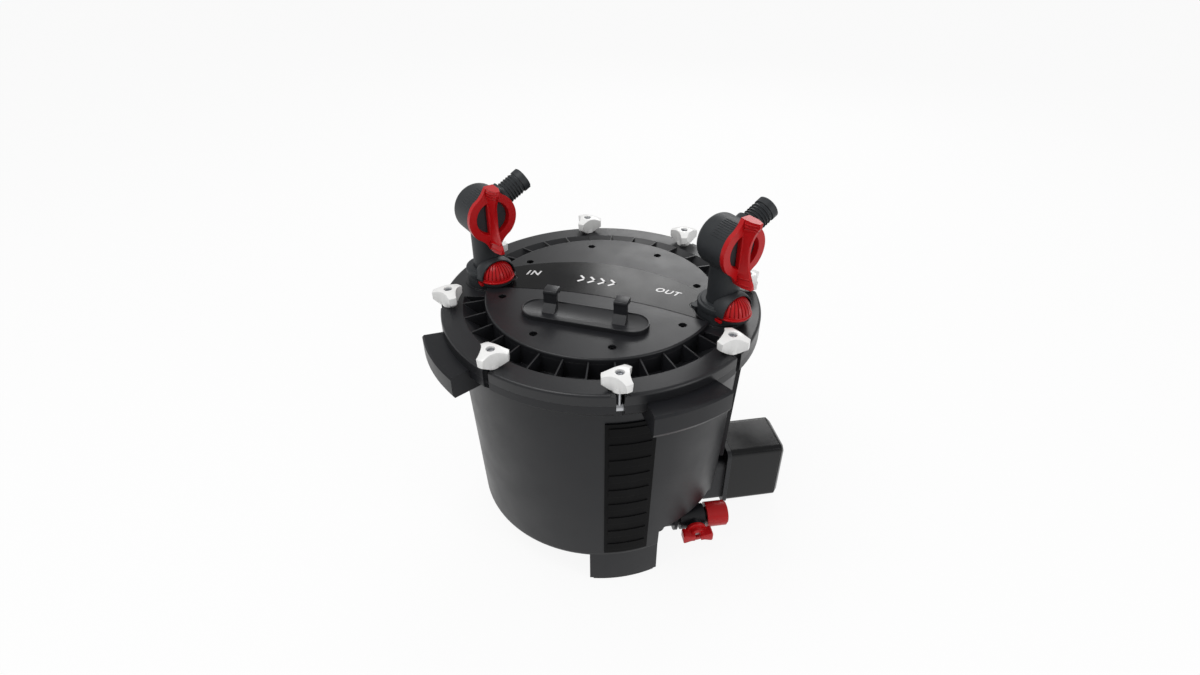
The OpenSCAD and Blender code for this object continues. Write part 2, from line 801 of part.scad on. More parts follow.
module drain_body() {
    color("#202226") at_drain() difference() {
        union() {
            translate([0, 0, -drain_pipe_r])
                cylinder(r = drain_pipe_r, h = floor_under - drain_z + drain_pipe_r);
            x_rod(nipple_r, 0, nipple_end);
            x_rod(drain_r, drain_body_from - 2 * drain_ring_t, drain_body_from - drain_ring_t);
            x_rod(drain_r, drain_body_from, drain_body_to);
            translate([drain_reach, -drain_r, 0]) y_rod(drain_boss_r, 2 * drain_boss_h);
        }
        x_rod(drain_bore_r, 0, nipple_end + over);
        translate([0, 0, -drain_bore_r]) cylinder(r = drain_bore_r, h = floor_top - drain_z + drain_bore_r);
        translate([drain_reach, 0, 0]) sphere(drain_ball_r + gap);
        translate([drain_reach, -drain_r, 0]) y_rod(drain_stem_r + fit, 2 * drain_r);
    }
}

module drain_ball() {
    color("#c9ccd0") at_drain() translate([drain_reach, 0, 0]) {
        difference() {
            sphere(drain_ball_r);
            x_rod(drain_bore_r, -2 * drain_ball_r, 2 * drain_ball_r);
        }
        translate([0, -drain_stem_mid, 0]) y_rod(drain_stem_r, drain_stem_l);
    }
}

module drain_knob() {
    color("#c01f24") at_drain() translate([drain_reach, 0, 0]) difference() {
        union() {
            translate([0, -drain_knob_y - drain_hub_h / 2, 0]) y_rod(drain_hub_r, drain_hub_h);
            translate([0, -drain_knob_y - drain_wing_h / 2, 0]) {
                cube([drain_wing_l - drain_wing_w, drain_wing_h, drain_wing_w], center = true);
                for (x = [-1, 1]) translate([x * (drain_wing_l - drain_wing_w) / 2, 0, 0])
                    y_rod(drain_wing_w / 2, drain_wing_h);
            }
        }
        translate([0, -drain_knob_y, 0])
            y_rod(drain_stem_r + fit / 2, 2 * (drain_stem_end - drain_knob_y + gap));
        translate([0, -drain_knob_y - drain_wing_h, 0])
            cube([drain_slot_w, drain_slot_d, drain_wing_w + over], center = true);
    }
}

module drain_cap() {
    color("#c01f24") at_drain() difference() {
        union() {
            x_rod(drain_cap_r, drain_cap_from, drain_cap_from + drain_cap_l - chamfer);
            x_rod(drain_cap_r - chamfer, drain_cap_from, drain_cap_from + drain_cap_l);
        }
        x_rod(nipple_r + fit, drain_cap_from - over, nipple_end + gap);
    }
}

module riser_pipe() {
    color("#2b2d31") translate([valve_r, 0, 0])
        ring(bore_r, riser_r, floor_under - riser_seat, port_z + riser_seat - gap);
}

// A media basket that stands at height z
module basket(z) {
    translate([0, 0, z]) {
        difference() {
            cylinder(r = tray_r, h = basket_t);
            translate([valve_r - notch_half, -notch_half, -over])
                cube([rim_r, 2 * notch_half, basket_t + 2 * over]);
            for (k = [1 : hole_rows], a = [0 : 60 / k : 359])
                rotate([0, 0, a + 30]) translate([k * basket_r / (hole_rows + 1), 0, -over])
                    cylinder(r = basket_hole_r, h = basket_t + 2 * over);
        }
        ring(basket_r - basket_t, basket_r, 0, basket_h);
    }
}

module lower_basket() {
    color("#4a4d52") {
        basket(tray_z);
        for (a = [45 : 90 : 359]) rotate([0, 0, a]) translate([basket_r - leg_r, 0, floor_top])
            cylinder(r = leg_r, h = basket_leg_h + over);
    }
}

module upper_basket() {
    color("#4a4d52") basket(upper_tray_z);
}

// Foam round a basket, open where the return pipe runs
module foam(z) {
    color("#3f6b8f") difference() {
        ring(foam_in_r, foam_out_r, z + basket_t, z + basket_h - gap);
        translate([0, -notch_half, z]) cube([rim_r, 2 * notch_half, basket_h]);
    }
}

module lower_foam() foam(tray_z);

module upper_foam() foam(upper_tray_z);

module media_fill() {
    color("#b9ad98") for (z = [tray_z, upper_tray_z]) translate([0, 0, z + basket_t])
        cylinder(r = basket_r - basket_t - gap, h = 0.8 * basket_h);
}

module basket_cover() {
    color("#3b3e43") translate([0, 0, cover_z]) difference() {
        cylinder(r = basket_r, h = basket_t);
        for (k = [1, 2], a = [0 : 60 / k : 359]) rotate([0, 0, a + 30])
            translate([k * basket_r / 3, 0, -over])
            cylinder(r = basket_hole_r, h = basket_t + 2 * over);
    }
}

module basket_handle() {
    inner_w = basket_grip_w - 2 * basket_grip_t;
    color("#c01f24") translate([0, 0, cover_z + basket_t]) rotate([90, 0, 0])
        linear_extrude(basket_grip_d, center = true) difference() {
            translate([-basket_grip_w / 2, 0]) square([basket_grip_w, basket_grip_h]);
            translate([-inner_w / 2, basket_grip_t])
                square([inner_w, basket_grip_h - 2 * basket_grip_t]);
        }
}

// Outline of the lid, to be turned about the axis
module lid_outline() {
    slope = trough_depth / (trough_r - trough_slope_r);
    inner_r = plug_r - plug_t;
    polygon([
        [0, rim_top], [disc_r, rim_top], [disc_r, trough_z], [trough_slope_r, trough_z],
        [trough_r, rim_top], [rim_r - rim_edge, rim_top], [rim_r, rim_top - rim_edge],
        [rim_r, seam_z], [plug_r, seam_z], [plug_r, plug_z], [inner_r, plug_z],
        [inner_r, trough_z + (inner_r - trough_slope_r) * slope - lid_t * sqrt(1 + slope * slope)],
        [trough_slope_r, trough_z - lid_t], [disc_r - lid_t, trough_z - lid_t],
        [disc_r - lid_t, rim_top - lid_t], [0, rim_top - lid_t]
    ]);
    translate([rim_r - rim_edge, rim_top - rim_edge]) circle(rim_edge);
}

// What fills the trough under a valve, to be turned about the axis
module land_outline() {
    polygon([
        [disc_r - over, trough_z - over], [trough_slope_r + over, trough_z - over],
        [trough_r + over, rim_top - over], [trough_r + over, rim_top], [disc_r - over, rim_top]
    ]);
}

// One rib across the trough
module trough_rib() {
    rotate([90, 0, 0]) linear_extrude(rib_t, center = true) polygon([
        [disc_r - over, trough_z - over], [disc_r - over, rim_top - over],
        [disc_r + gap, rim_top - over], [disc_r + gap, rim_top + disc_t / 2],
        [trough_r, rim_top], [trough_r + over, rim_top - over], [trough_slope_r, trough_z - over]
    ]);
}

// What a clamp bolt and its knob's boss need cut from the lid rim. The rim falls away
// outside the bolt on a circle about the pivot, so that the boss can roll outwards.
module clamp_lid_cuts() {
    translate([slot_in_r - clamp_r, -slot_w / 2, seam_z - over])
        cube([rim_r, slot_w, lid_rim_h + 2 * over]);
    translate([0, 0, pivot_z]) difference() {
        translate([0, -boss_r - over, 0]) cube([rim_r - clamp_r + over, 2 * (boss_r + over), 2 * pivot_drop]);
        y_rod(pivot_drop, 4 * boss_r);
    }
}

module lid() {
    color("#303237") difference() {
        union() {
            rotate_extrude() difference() {
                lid_outline();
                translate([plug_r - 2 * seal_r - gap, (seam_z + plug_z) / 2 - seal_r - gap])
                    square([2 * seal_r + gap + over, 2 * (seal_r + gap)]);
            }
            for (i = [0 : rib_count - 1]) if (!on_land(i * 360 / rib_count))
                at_az(i * 360 / rib_count) trough_rib();
            for (s = [-1, 1]) {
                intersection() {
                    rotate_extrude() land_outline();
                    wedge(s * 90, land_span, rim_r, 0, rim_top + over);
                }
                translate([s * valve_r, 0, rim_top - over]) cylinder(r = pad_r, h = over + valve_pad_h);
                translate([s * valve_r, 0, port_z]) cylinder(r = port_r, h = rim_top - port_z - over);
            }
        }
        for (s = [-1, 1]) translate([s * valve_r, 0, port_z - over])
            cylinder(r = bore_r, h = pad_top - port_z + 2 * over);
        translate([valve_r, 0, port_z - over]) cylinder(r = riser_r + fit, h = riser_seat + over);
        at_clamps() clamp_lid_cuts();
        at_screws() translate([0, 0, rim_top - screw_grip - gap])
            cylinder(r = screw_r + fit, h = 2 * screw_grip);
    }
}

// Repeats the children at each disc screw
module at_screws() {
    for (i = [0 : screw_count - 1]) at_az(clamp_az + i * 360 / screw_count, screw_circle_r) children();
}

// Outline of the arched band, grown by c
module band_outline(c) {
    difference() {
        intersection() {
            translate([0, band_back - band_back_r]) circle(band_back_r + c, $fn = 360);
            circle(disc_r - 3 + c, $fn = 360);
        }
        translate([0, -band_front - band_front_r]) circle(band_front_r - c, $fn = 360);
        valve_land(2 - c);
    }
}

// What a valve's pad and its collar's lug take from the disc, grown by c
module valve_land(c) {
    for (s = [-1, 1]) {
        translate([s * valve_r, 0]) circle(pad_r + c);
        translate([s * (valve_r - lug_x), 0]) circle(lug_r + c);
    }
}

module lid_disc() {
    color("#34363b") difference() {
        translate([0, 0, rim_top]) rotate_extrude() {
            square([disc_r - chamfer, disc_t]);
            square([disc_r, disc_t - chamfer]);
            translate([disc_r - chamfer, disc_t - chamfer]) intersection() {
                circle(chamfer);
                square(chamfer);
            }
        }
        translate([0, 0, rim_top - over]) linear_extrude(disc_t + 2 * over) valve_land(gap);
        translate([0, 0, disc_top - band_recess]) linear_extrude(disc_t) band_outline(gap / 2);
        at_screws() {
            translate([0, 0, rim_top - over]) cylinder(r = screw_r + gap, h = disc_t + 2 * over);
            translate([0, 0, rim_top + 2]) cylinder(r = screw_head_r + gap, h = disc_t);
        }
    }
}

module lid_band() {
    color("#1d1e22") translate([0, 0, disc_top - band_recess])
        linear_extrude(band_t) band_outline(0);
}

module lid_screws() {
    color("#8f9398") at_screws() difference() {
        union() {
            translate([0, 0, rim_top - screw_grip]) cylinder(r = screw_r, h = screw_grip + 3);
            translate([0, 0, rim_top + 2]) cylinder(r = screw_head_r, h = 2.4);
        }
        translate([0, 0, rim_top + 3]) cylinder(r = screw_r, h = 3, $fn = 6);
    }
}

module hook_plate() {
    nose_t = 4;
    lip = 2.5;
    color("#2a2c30") translate([0, -hook_y, disc_top]) {
        linear_extrude(hook_plate_t) {
            square([hook_plate_l - hook_plate_w, hook_plate_w], center = true);
            for (s = [-1, 1]) translate([s * (hook_plate_l - hook_plate_w) / 2, 0]) circle(hook_plate_w / 2);
        }
        for (s = [-1, 1]) translate([s * hook_gap / 2, 0, hook_plate_t - over])
            rotate([90, 0, 90]) linear_extrude(hook_w, center = true) polygon([
                [-hook_t - 3, 0], [hook_t, 0], [hook_t, hook_h - nose_t + over],
                [hook_t + hook_nose - lip, hook_h - nose_t + over],
                [hook_t + hook_nose - lip, hook_h - nose_t - lip + over],
                [hook_t + hook_nose, hook_h - nose_t - lip + over],
                [hook_t + hook_nose, hook_h + over - lip], [hook_t + hook_nose - lip, hook_h + over],
                [0, hook_h + over], [0, 8 + over]
            ]);
    }
}

module lid_seal() {
    color("#5b1f20") rotate_extrude()
        translate([mouth_r - seal_r - 2 * fit, (seam_z + plug_z) / 2]) circle(seal_r);
}

// Knob number i, with three wings; the turn of each knob is its own
module clamp_knob(i) {
    color("#f4f4f2") at_az(clamp_az + (i - 1) * clamp_step, clamp_r) difference() {
        union() {
            translate([0, 0, knob_z]) cylinder(r = boss_r, h = boss_h + over);
            translate([0, 0, knob_z + boss_h]) linear_extrude(knob_h) {
                circle(knob_wing_w - 1);
                for (a = [0 : 120 : 359]) rotate([0, 0, a + knob_turn[i - 1]]) {
                    translate([0, -knob_wing_w / 2]) square([knob_reach - knob_wing_w / 2, knob_wing_w]);
                    translate([knob_reach - knob_wing_w / 2, 0]) circle(knob_wing_w / 2);
                }
            }
        }
        translate([0, 0, knob_z - over]) cylinder(r = bolt_d / 2 + fit, h = knob_top);
    }
}

// Clamp bolt number i: a rod with an eye and a cross pin, upright in its slot
module clamp_bolt(i) {
    color("#b4b8bd") at_az(clamp_az + (i - 1) * clamp_step, clamp_r) translate([0, 0, pivot_z]) {
        cylinder(r = bolt_d / 2, h = knob_top - pivot_z - 3);
        y_rod(eye_r, slot_w - 2 * gap);
        y_rod(pin_r, pin_l);
    }
}

// Frame of a valve: s = -1 for the inlet, 1 for the outlet; +X is the lever's side
module at_valve(s) {
    translate([s * valve_r, 0, 0]) rotate([0, 0, valve_face_az - 90]) children();
}

// Frame along a hose tail: +Z runs out of the valve
module at_tail() {
    translate([0, 0, drum_z]) rotate([tail_slope - 90, 0, 0]) children();
}

module valve_collar(s) {
    color("#2e3034") at_valve(s) difference() {
        union() {
            translate([0, 0, pad_top]) cylinder(r = collar_r, h = collar_base_h);
            translate([0, 0, pad_top]) cylinder(r = collar_r - collar_step, h = collar_h);
            rotate([0, 0, 90 - valve_face_az]) translate([-s * lug_x, 0, pad_top])
                cylinder(r = lug_r, h = lug_h);
        }
        translate([0, 0, pad_top - over]) cylinder(r = foot_r + gap, h = collar_h + 2 * over);
        translate([-fork_half_w / 2 - over, -fork_half_w - gap, fork_z - gap])
            cube([2 * collar_r, 2 * (fork_half_w + gap), fork_t + 2 * gap]);
    }
}

module valve_body(s) {
    color("#3c3f44") at_valve(s) difference() {
        union() {
            translate([0, 0, pad_top + gap]) cylinder(r = foot_r, h = valve_foot_h);
            translate([0, 0, pad_top + gap]) cylinder(r = neck_r, h = drum_z - pad_top - gap);
            translate([-drum_back, 0, drum_z]) rotate([0, 90, 0]) rotate_extrude() {
                translate([0, drum_edge_r]) square([drum_r, drum_l - drum_edge_r]);
                square([drum_r - drum_edge_r, drum_edge_r]);
                translate([drum_r - drum_edge_r, drum_edge_r]) circle(drum_edge_r);
            }
            at_tail() cylinder(r = barb_r + 3, h = outlet_end);
        }
        ring(fork_in_r, foot_r + over, fork_z - gap, fork_z + fork_t + gap);
        translate([0, 0, pad_top - over]) cylinder(r = bore_r, h = drum_z - pad_top);
        translate([0, 0, drum_z]) sphere(ball_r + gap);
        at_tail() cylinder(r = bore_r, h = outlet_end + over);
        at_tail() translate([0, 0, outlet_end - socket_depth - gap])
            cylinder(r = barb_r + fit, h = 2 * socket_depth);
        x_rod(stem_r + fit, 0, drum_l, drum_z);
    }
}

module valve_ball(s) {
    color("#d5d7da") at_valve(s) {
        difference() {
            translate([0, 0, drum_z]) sphere(ball_r);
            translate([0, 0, drum_z - 2 * ball_r]) cylinder(r = bore_r, h = 2 * ball_r + over);
            at_tail() translate([0, 0, -over]) cylinder(r = bore_r - gap, h = 2 * ball_r);
        }
        x_rod(stem_r, ball_r - 2, lever_front - over, drum_z);
    }
}

module valve_lever(s) {
    tip = 5;
    saddle_half = lever_half - tip;
    saddle_r = (saddle_half * saddle_half + lever_tip_h * lever_tip_h) / (2 * lever_tip_h);
    color("#c01f24") at_valve(s) translate([0, 0, drum_z]) difference() {
        union() {
            difference() {
                x_rod(ring_r, lever_x, lever_x + ring_t);
                x_rod(ring_r - ring_w, lever_x - over, lever_x + ring_t + over);
            }
            x_rod(stem_r + tip, lever_x, lever_front + over);
            translate([lever_x, 0, 0]) rotate([90, 0, 90]) linear_extrude(ring_t) polygon([
                [-tip, -lever_half], [tip, -lever_half], [2 * tip, 0], [tip, lever_half],
                [-tip, lever_half], [-2 * tip, 0]
            ]);
            difference() {
                translate([lever_x, -lever_bar_t / 2, -lever_half])
                    cube([ring_t + lever_bar_h + lever_tip_h, lever_bar_t, 2 * lever_half]);
                translate([lever_front + saddle_r, 0, 0]) y_rod(saddle_r, 2 * lever_bar_t);
            }
        }
        x_rod(stem_r + fit / 2, lever_x - over, lever_front - over);
    }
}

module hose_tail(s) {
    lead = 3;
    tip_l = 7;
    barb_step = (tail_l - tip_l - lead - 2 * over) / barb_count;
    color("#34373c") at_valve(s) at_tail() difference() {
        union() {
            translate([0, 0, outlet_end - socket_depth]) cylinder(r = barb_r, h = socket_depth);
            translate([0, 0, outlet_end - over]) cylinder(r = tail_r, h = tail_l + over);
            for (i = [0 : barb_count - 1]) translate([0, 0, outlet_end + lead + i * barb_step])
                cylinder(r1 = barb_r, r2 = tail_r, h = 0.8 * barb_step);
            translate([0, 0, outlet_end + tail_l - tip_l - over]) cylinder(r = barb_r, h = tip_l);
        }
        translate([0, 0, outlet_end - 2 * socket_depth]) cylinder(r = bore_r, h = tail_l + 3 * socket_depth);
    }
}

// A lock clip: a fork that holds the valve's foot, with a domed thumb grip
module lock_clip(s) {
    color("#c01f24") at_valve(s) {
        translate([0, 0, fork_z]) linear_extrude(fork_t) difference() {
            translate([-fork_half_w / 2, -fork_half_w]) square([fork_half_w * 1.5, 2 * fork_half_w]);
            circle(fork_in_r + gap);
            translate([-collar_r, -fork_in_r - gap]) square([collar_r, 2 * (fork_in_r + gap)]);
        }
        difference() {
            translate([collar_r - clip_dome_r / 2, 0, fork_z]) sphere(clip_dome_r);
            translate([0, 0, fork_z - 2 * clip_dome_r]) cylinder(r = collar_r + gap, h = 4 * clip_dome_r);
            translate([0, -2 * clip_dome_r, disc_top + gap - 2 * clip_dome_r])
                cube([4 * clip_dome_r, 4 * clip_dome_r, 2 * clip_dome_r]);
        }
        translate([fork_half_w - over, -clip_dome_r / 2, fork_z])
            cube([collar_r - fork_half_w + 2 * over, clip_dome_r, fork_t]);
    }
}

module in_collar() valve_collar(-1);
module in_valve() valve_body(-1);
module in_ball() valve_ball(-1);
module in_lever() valve_lever(-1);
module in_hose_tail() hose_tail(-1);
module in_lock_clip() lock_clip(-1);
module out_collar() valve_collar(1);
module out_valve() valve_body(1);
module out_ball() valve_ball(1);
module out_lever() valve_lever(1);
module out_hose_tail() hose_tail(1);
module out_lock_clip() lock_clip(1);

canister_body();
front_trim();
rubber_feet();
left_handle();
right_handle();
pump_housing();
impeller_cover();
impeller();
impeller_shaft();
motor_housing();
motor_end_cap();
stator();
cable_gland();
motor_screws();
drain_body();
drain_ball();
drain_knob();
drain_cap();
riser_pipe();
lower_basket();
upper_basket();
lower_foam();
upper_foam();
media_fill();
basket_cover();
basket_handle();
lid();
lid_disc();
lid_band();
lid_screws();
hook_plate();
lid_seal();
clamp_knob(1);  // clamp_knob_1
clamp_knob(2);  // clamp_knob_2
clamp_knob(3);  // clamp_knob_3
clamp_knob(4);  // clamp_knob_4
clamp_knob(5);  // clamp_knob_5
clamp_knob(6);  // clamp_knob_6
clamp_knob(7);  // clamp_knob_7
clamp_knob(8);  // clamp_knob_8
clamp_bolt(1);  // clamp_bolt_1
clamp_bolt(2);  // clamp_bolt_2
clamp_bolt(3);  // clamp_bolt_3
clamp_bolt(4);  // clamp_bolt_4
clamp_bolt(5);  // clamp_bolt_5
clamp_bolt(6);  // clamp_bolt_6
clamp_bolt(7);  // clamp_bolt_7
clamp_bolt(8);  // clamp_bolt_8
in_collar();
in_valve();
in_ball();
in_lever();
in_hose_tail();
in_lock_clip();
out_collar();
out_valve();
out_ball();
out_lever();
out_hose_tail();
out_lock_clip();
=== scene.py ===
# %% [markdown]
# # A pond canister filter, dressed for a studio picture
# The filter is a round tank with a clamped lid, two lever valves, a pump motor on its side and a drain valve.
# Its solids come from the CAD model and stay where they are. This lesson gives them their finishes, and models
# the pieces whose form is softer or finer than the solids: knobs, levers, clips, hoods, grips and labels.

# %% Load the frame
import bpy
import json
import math
from mathutils import Matrix, Vector


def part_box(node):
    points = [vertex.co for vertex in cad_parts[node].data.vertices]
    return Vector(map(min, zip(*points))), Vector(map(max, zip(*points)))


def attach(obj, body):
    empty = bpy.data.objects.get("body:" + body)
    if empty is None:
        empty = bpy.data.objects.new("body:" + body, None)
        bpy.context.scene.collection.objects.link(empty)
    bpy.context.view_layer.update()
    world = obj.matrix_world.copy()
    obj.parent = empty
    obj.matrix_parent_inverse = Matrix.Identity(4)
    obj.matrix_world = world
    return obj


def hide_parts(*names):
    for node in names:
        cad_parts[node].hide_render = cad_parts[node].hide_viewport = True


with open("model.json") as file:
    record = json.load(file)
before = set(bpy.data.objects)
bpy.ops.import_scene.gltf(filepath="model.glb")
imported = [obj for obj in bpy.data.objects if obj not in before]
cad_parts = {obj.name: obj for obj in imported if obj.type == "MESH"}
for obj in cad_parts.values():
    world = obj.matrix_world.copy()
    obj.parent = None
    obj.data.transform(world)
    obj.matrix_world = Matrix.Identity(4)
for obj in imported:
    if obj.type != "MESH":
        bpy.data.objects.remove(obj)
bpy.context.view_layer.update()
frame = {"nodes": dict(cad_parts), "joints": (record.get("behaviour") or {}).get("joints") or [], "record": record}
NODES = frame["nodes"]
MM = 0.001

# %% [markdown]
# ## Shader maths as Python
# A finish is a small graph of nodes. Wiring such a graph by hand hides the idea in plumbing, so one class wraps
# a socket and turns +, - and * into Math nodes, and one method makes any other node. A recipe then reads like
# the sentence that describes it.

# %% The socket wrapper
class Wire:
    """A value that changes over the surface; its operators add Math nodes."""

    def __init__(self, finish, socket):
        self.finish, self.socket = finish, socket

    def maths(self, operation, first, second):
        return self.finish.node("ShaderNodeMath", {"operation": operation}, {0: first, 1: second})

    def __add__(self, other):
        return self.maths("ADD", self, other)

    def __sub__(self, other):
        return self.maths("SUBTRACT", self, other)

    def __mul__(self, other):
        return self.maths("MULTIPLY", self, other)

    def __rsub__(self, other):
        return self.maths("SUBTRACT", other, self)

    __radd__, __rmul__ = __add__, __mul__


# %% The finish builder
class Finish:
    """One material: a Principled shader and the nodes that feed it."""

    def __init__(self, name):
        self.material = bpy.data.materials.new(name)
        self.material.use_nodes = True
        self.tree = self.material.node_tree
        self.shader = self.tree.nodes["Principled BSDF"]
        self.place = self.node("ShaderNodeTexCoord", out="Object")

    def node(self, kind, settings=None, sockets=None, out=0):
        made = self.tree.nodes.new(kind)
        for key, value in (settings or {}).items():
            if key == "stops":
                self.set_stops(made.color_ramp, value)
            else:
                setattr(made, key, value)
        for key, value in (sockets or {}).items():
            self.feed(made.inputs[key], value)
        return Wire(self, made.outputs[out])

    def set_stops(self, ramp, stops):
        ramp.elements[0].position, ramp.elements[-1].position = stops[0][0], stops[-1][0]
        for place, colour in stops[1:-1]:
            ramp.elements.new(place)
        for element, (place, colour) in zip(ramp.elements, stops):
            element.color = (*colour, 1) if len(colour) == 3 else colour

    def feed(self, socket, value):
        if isinstance(value, Wire):
            self.tree.links.new(value.socket, socket)
        elif socket.type == "RGBA" and len(value) == 3:
            socket.default_value = (*value, 1)
        else:
            socket.default_value = value

    def set(self, **sockets):
        for key, value in sockets.items():
            self.feed(self.shader.inputs[key.replace("_", " ")], value)
        return self

    def noise(self, size_mm, detail=3, stretch=(1, 1, 1)):
        where = self.node("ShaderNodeMapping", sockets={"Vector": self.place, "Scale": stretch})
        return self.node("ShaderNodeTexNoise", sockets={"Vector": where, "Scale": 1 / (size_mm * MM),
                                                        "Detail": detail})

    def cells(self, size_mm):
        return self.node("ShaderNodeTexVoronoi", sockets={"Vector": self.place, "Scale": 1 / (size_mm * MM)},
                         out="Distance")

    def blend(self, share, low, high):
        return self.node("ShaderNodeMix", {"data_type": "RGBA"}, {0: share, 6: low, 7: high}, out=2)

    def ramp(self, value, *stops):
        return self.node("ShaderNodeValToRGB", {"stops": stops}, {0: value}, "Color")

    def edges(self, radius_mm):
        """A normal that rounds the sharp edges, and how far it leans from the flat one."""
        soft = self.node("ShaderNodeBevel", {"samples": 4}, {"Radius": radius_mm * MM})
        flat = self.node("ShaderNodeNewGeometry", out="Normal")
        straight = self.node("ShaderNodeVectorMath", {"operation": "DOT_PRODUCT"}, {0: soft, 1: flat}, "Value")
        return soft, 1 - straight

    def relief(self, height, depth_mm, normal):
        return self.node("ShaderNodeBump", sockets={"Height": height, "Distance": depth_mm * MM,
                                                    "Strength": 1.0, "Normal": normal})


def shade(colour, factor):
    return tuple(c * factor for c in colour)


print("Shader helpers ready")

# %% [markdown]
# ## Moulded plastic
# Injection moulded parts keep the fine grain of their mould, and their edges are paler: partly rubbed, partly a
# painted highlight for the light that the edges catch. The grain is one fine noise in the bump, a broad noise varies
# the sheen as handling does, and the rounded-edge normal catches the light along every corner, which a knife-sharp
# solid never does.

# %% Plastics
def plastic(name, colour, roughness, gloss=0.5, grain_mm=0.5, grain_depth=0.03, edge_mm=0.7, edge_rub_and_highlight=1.6, coat=0.0,
            mottle=0.12):
    made = Finish(name)
    soft, lean = made.edges(edge_mm)
    cloud = made.noise(38, 4)
    grain = made.noise(grain_mm, 2)
    body = made.blend(cloud, shade(colour, 1 - mottle), shade(colour, 1 + mottle))
    # Edges are lightened in colour: partly rubbing, partly a painted highlight along every corner.
    rubbed_and_lit_edges = made.blend(lean * 1.5, body, shade(colour, edge_rub_and_highlight))
    return made.set(Base_Color=rubbed_and_lit_edges, Roughness=(cloud - 0.5) * 0.22 + (grain - 0.5) * 0.1 + roughness,
                    Normal=made.relief(grain, grain_depth, soft), Specular_IOR_Level=gloss,
                    Coat_Weight=coat, Coat_Roughness=0.12).material


FINISHES = {
    "shell": plastic("Tank_satin", (0.0095, 0.010, 0.0122), 0.38, 0.29),
    "lid_plastic": plastic("Lid_satin", (0.012, 0.0125, 0.0145), 0.36, 0.42),
    "pump_plastic": plastic("Pump_grey", (0.016, 0.017, 0.020), 0.42, 0.35),
    "motor_case": plastic("Motor_case", (0.0036, 0.0038, 0.0046), 0.17, 0.30, grain_depth=0.006, edge_mm=1.6),
    "valve_plastic": plastic("Valve_grey", (0.024, 0.027, 0.030), 0.50, 0.34, grain_depth=0.04),
    "basket_plastic": plastic("Basket_grey", (0.045, 0.048, 0.052), 0.5),
    "rotor_plastic": plastic("Rotor_grey", (0.50, 0.51, 0.52), 0.42, edge_rub_and_highlight=1.1),
    "ball_plastic": plastic("Ball_pale", (0.62, 0.63, 0.65), 0.25, edge_rub_and_highlight=1.05, coat=0.3),
    "red_plastic": plastic("Signal_red", (0.47, 0.0035, 0.006), 0.34, 0.3, grain_depth=0.012, edge_rub_and_highlight=1.35, coat=0.06,
                           mottle=0.06),
    "knob_plastic": plastic("Knob_white", (0.88, 0.88, 0.87), 0.30, 0.4, grain_depth=0.008, edge_mm=1.0, edge_rub_and_highlight=1.02,
                            coat=0.2, mottle=0.015),
    "trim": plastic("Trim_gloss", (0.0015, 0.0015, 0.002), 0.20, 0.16, grain_depth=0.004, edge_mm=0.4, edge_rub_and_highlight=2.0),
}
print("Plastics:", sorted(FINISHES))

# %% [markdown]
# ## Rubber, steel, ceramic, iron, foam and media
# Rubber scatters light, so it is rough and its grain is coarse. Steel is a metal whose roughness is drawn out in
# turning marks. The inner pieces are seen only when the lid is away, and each still gets what it is made of.

# %% Other finishes
def rubber(name, colour):
    made = Finish(name)
    soft, _ = made.edges(0.6)
    grain = made.noise(0.9, 4)
    dust = made.noise(14, 5)
    body = made.blend(dust, colour, shade(colour, 2.2))
    return made.set(Base_Color=body, Roughness=dust * 0.2 + 0.68,
                    Normal=made.relief(grain, 0.06, soft)).material


def metal(name, colour, roughness):
    made = Finish(name)
    soft, _ = made.edges(0.3)
    marks = made.noise(2.5, 3, stretch=(1, 1, 14))
    body = made.blend(marks, shade(colour, 0.8), colour)
    return made.set(Base_Color=body, Metallic=1.0, Roughness=marks * 0.25 + roughness,
                    Normal=made.relief(marks, 0.01, soft)).material


def open_foam(name, colour):
    made = Finish(name)
    pores = made.cells(2.2)
    flat = made.node("ShaderNodeNewGeometry", out="Normal")
    # The pore centres, the pits of the bump, are painted dark: painted shade in the pores.
    body = made.ramp(pores, (0.1, shade(colour, 0.25)), (0.55, colour), (0.9, shade(colour, 1.5)))
    return made.set(Base_Color=body, Roughness=0.95, Normal=made.relief(pores, 0.9, flat)).material


def ceramic_bed(name, colour):
    made = Finish(name)
    chunks = made.cells(13)
    pits = made.noise(1.4, 4)
    flat = made.node("ShaderNodeNewGeometry", out="Normal")
    # The chunks are painted pale in the middle and dark at their edges, where the bump sinks: painted light on their
    # tops and painted shade in the gaps between them.
    body = made.ramp(chunks, (0.0, shade(colour, 1.15)), (0.5, colour), (0.85, shade(colour, 0.2)))
    return made.set(Base_Color=body, Roughness=pits * 0.2 + 0.75,
                    Normal=made.relief(chunks * -4 + pits * 0.3, 1.0, flat)).material


def wound_iron(name):
    made = Finish(name)
    wires = made.node("ShaderNodeTexWave", {"bands_direction": "Z"},
                      {"Vector": made.place, "Scale": 420, "Distortion": 1.0}, "Fac")
    # The troughs of the bands, where the bump sinks between the wires, are painted dark: painted shade between the
    # windings.
    body = made.ramp(wires, (0.2, (0.10, 0.045, 0.02)), (0.7, (0.42, 0.19, 0.08)))
    flat = made.node("ShaderNodeNewGeometry", out="Normal")
    return made.set(Base_Color=body, Metallic=0.8, Roughness=wires * 0.2 + 0.35,
                    Normal=made.relief(wires, 0.3, flat)).material


FINISHES.update({
    "foot_rubber": rubber("Foot_rubber", (0.010, 0.010, 0.011)),
    "seal_rubber": rubber("Seal_rubber", (0.10, 0.025, 0.025)),
    "steel": metal("Stainless", (0.56, 0.57, 0.59), 0.22),
    "ceramic": plastic("Shaft_ceramic", (0.78, 0.76, 0.71), 0.18, grain_depth=0.003, edge_rub_and_highlight=1.05, coat=0.3),
    "stator_iron": wound_iron("Wound_iron"),
    "foam": open_foam("Filter_foam", (0.05, 0.15, 0.27)),
    "media": ceramic_bed("Ceramic_media", (0.48, 0.41, 0.31)),
})
print("Finishes:", len(FINISHES))
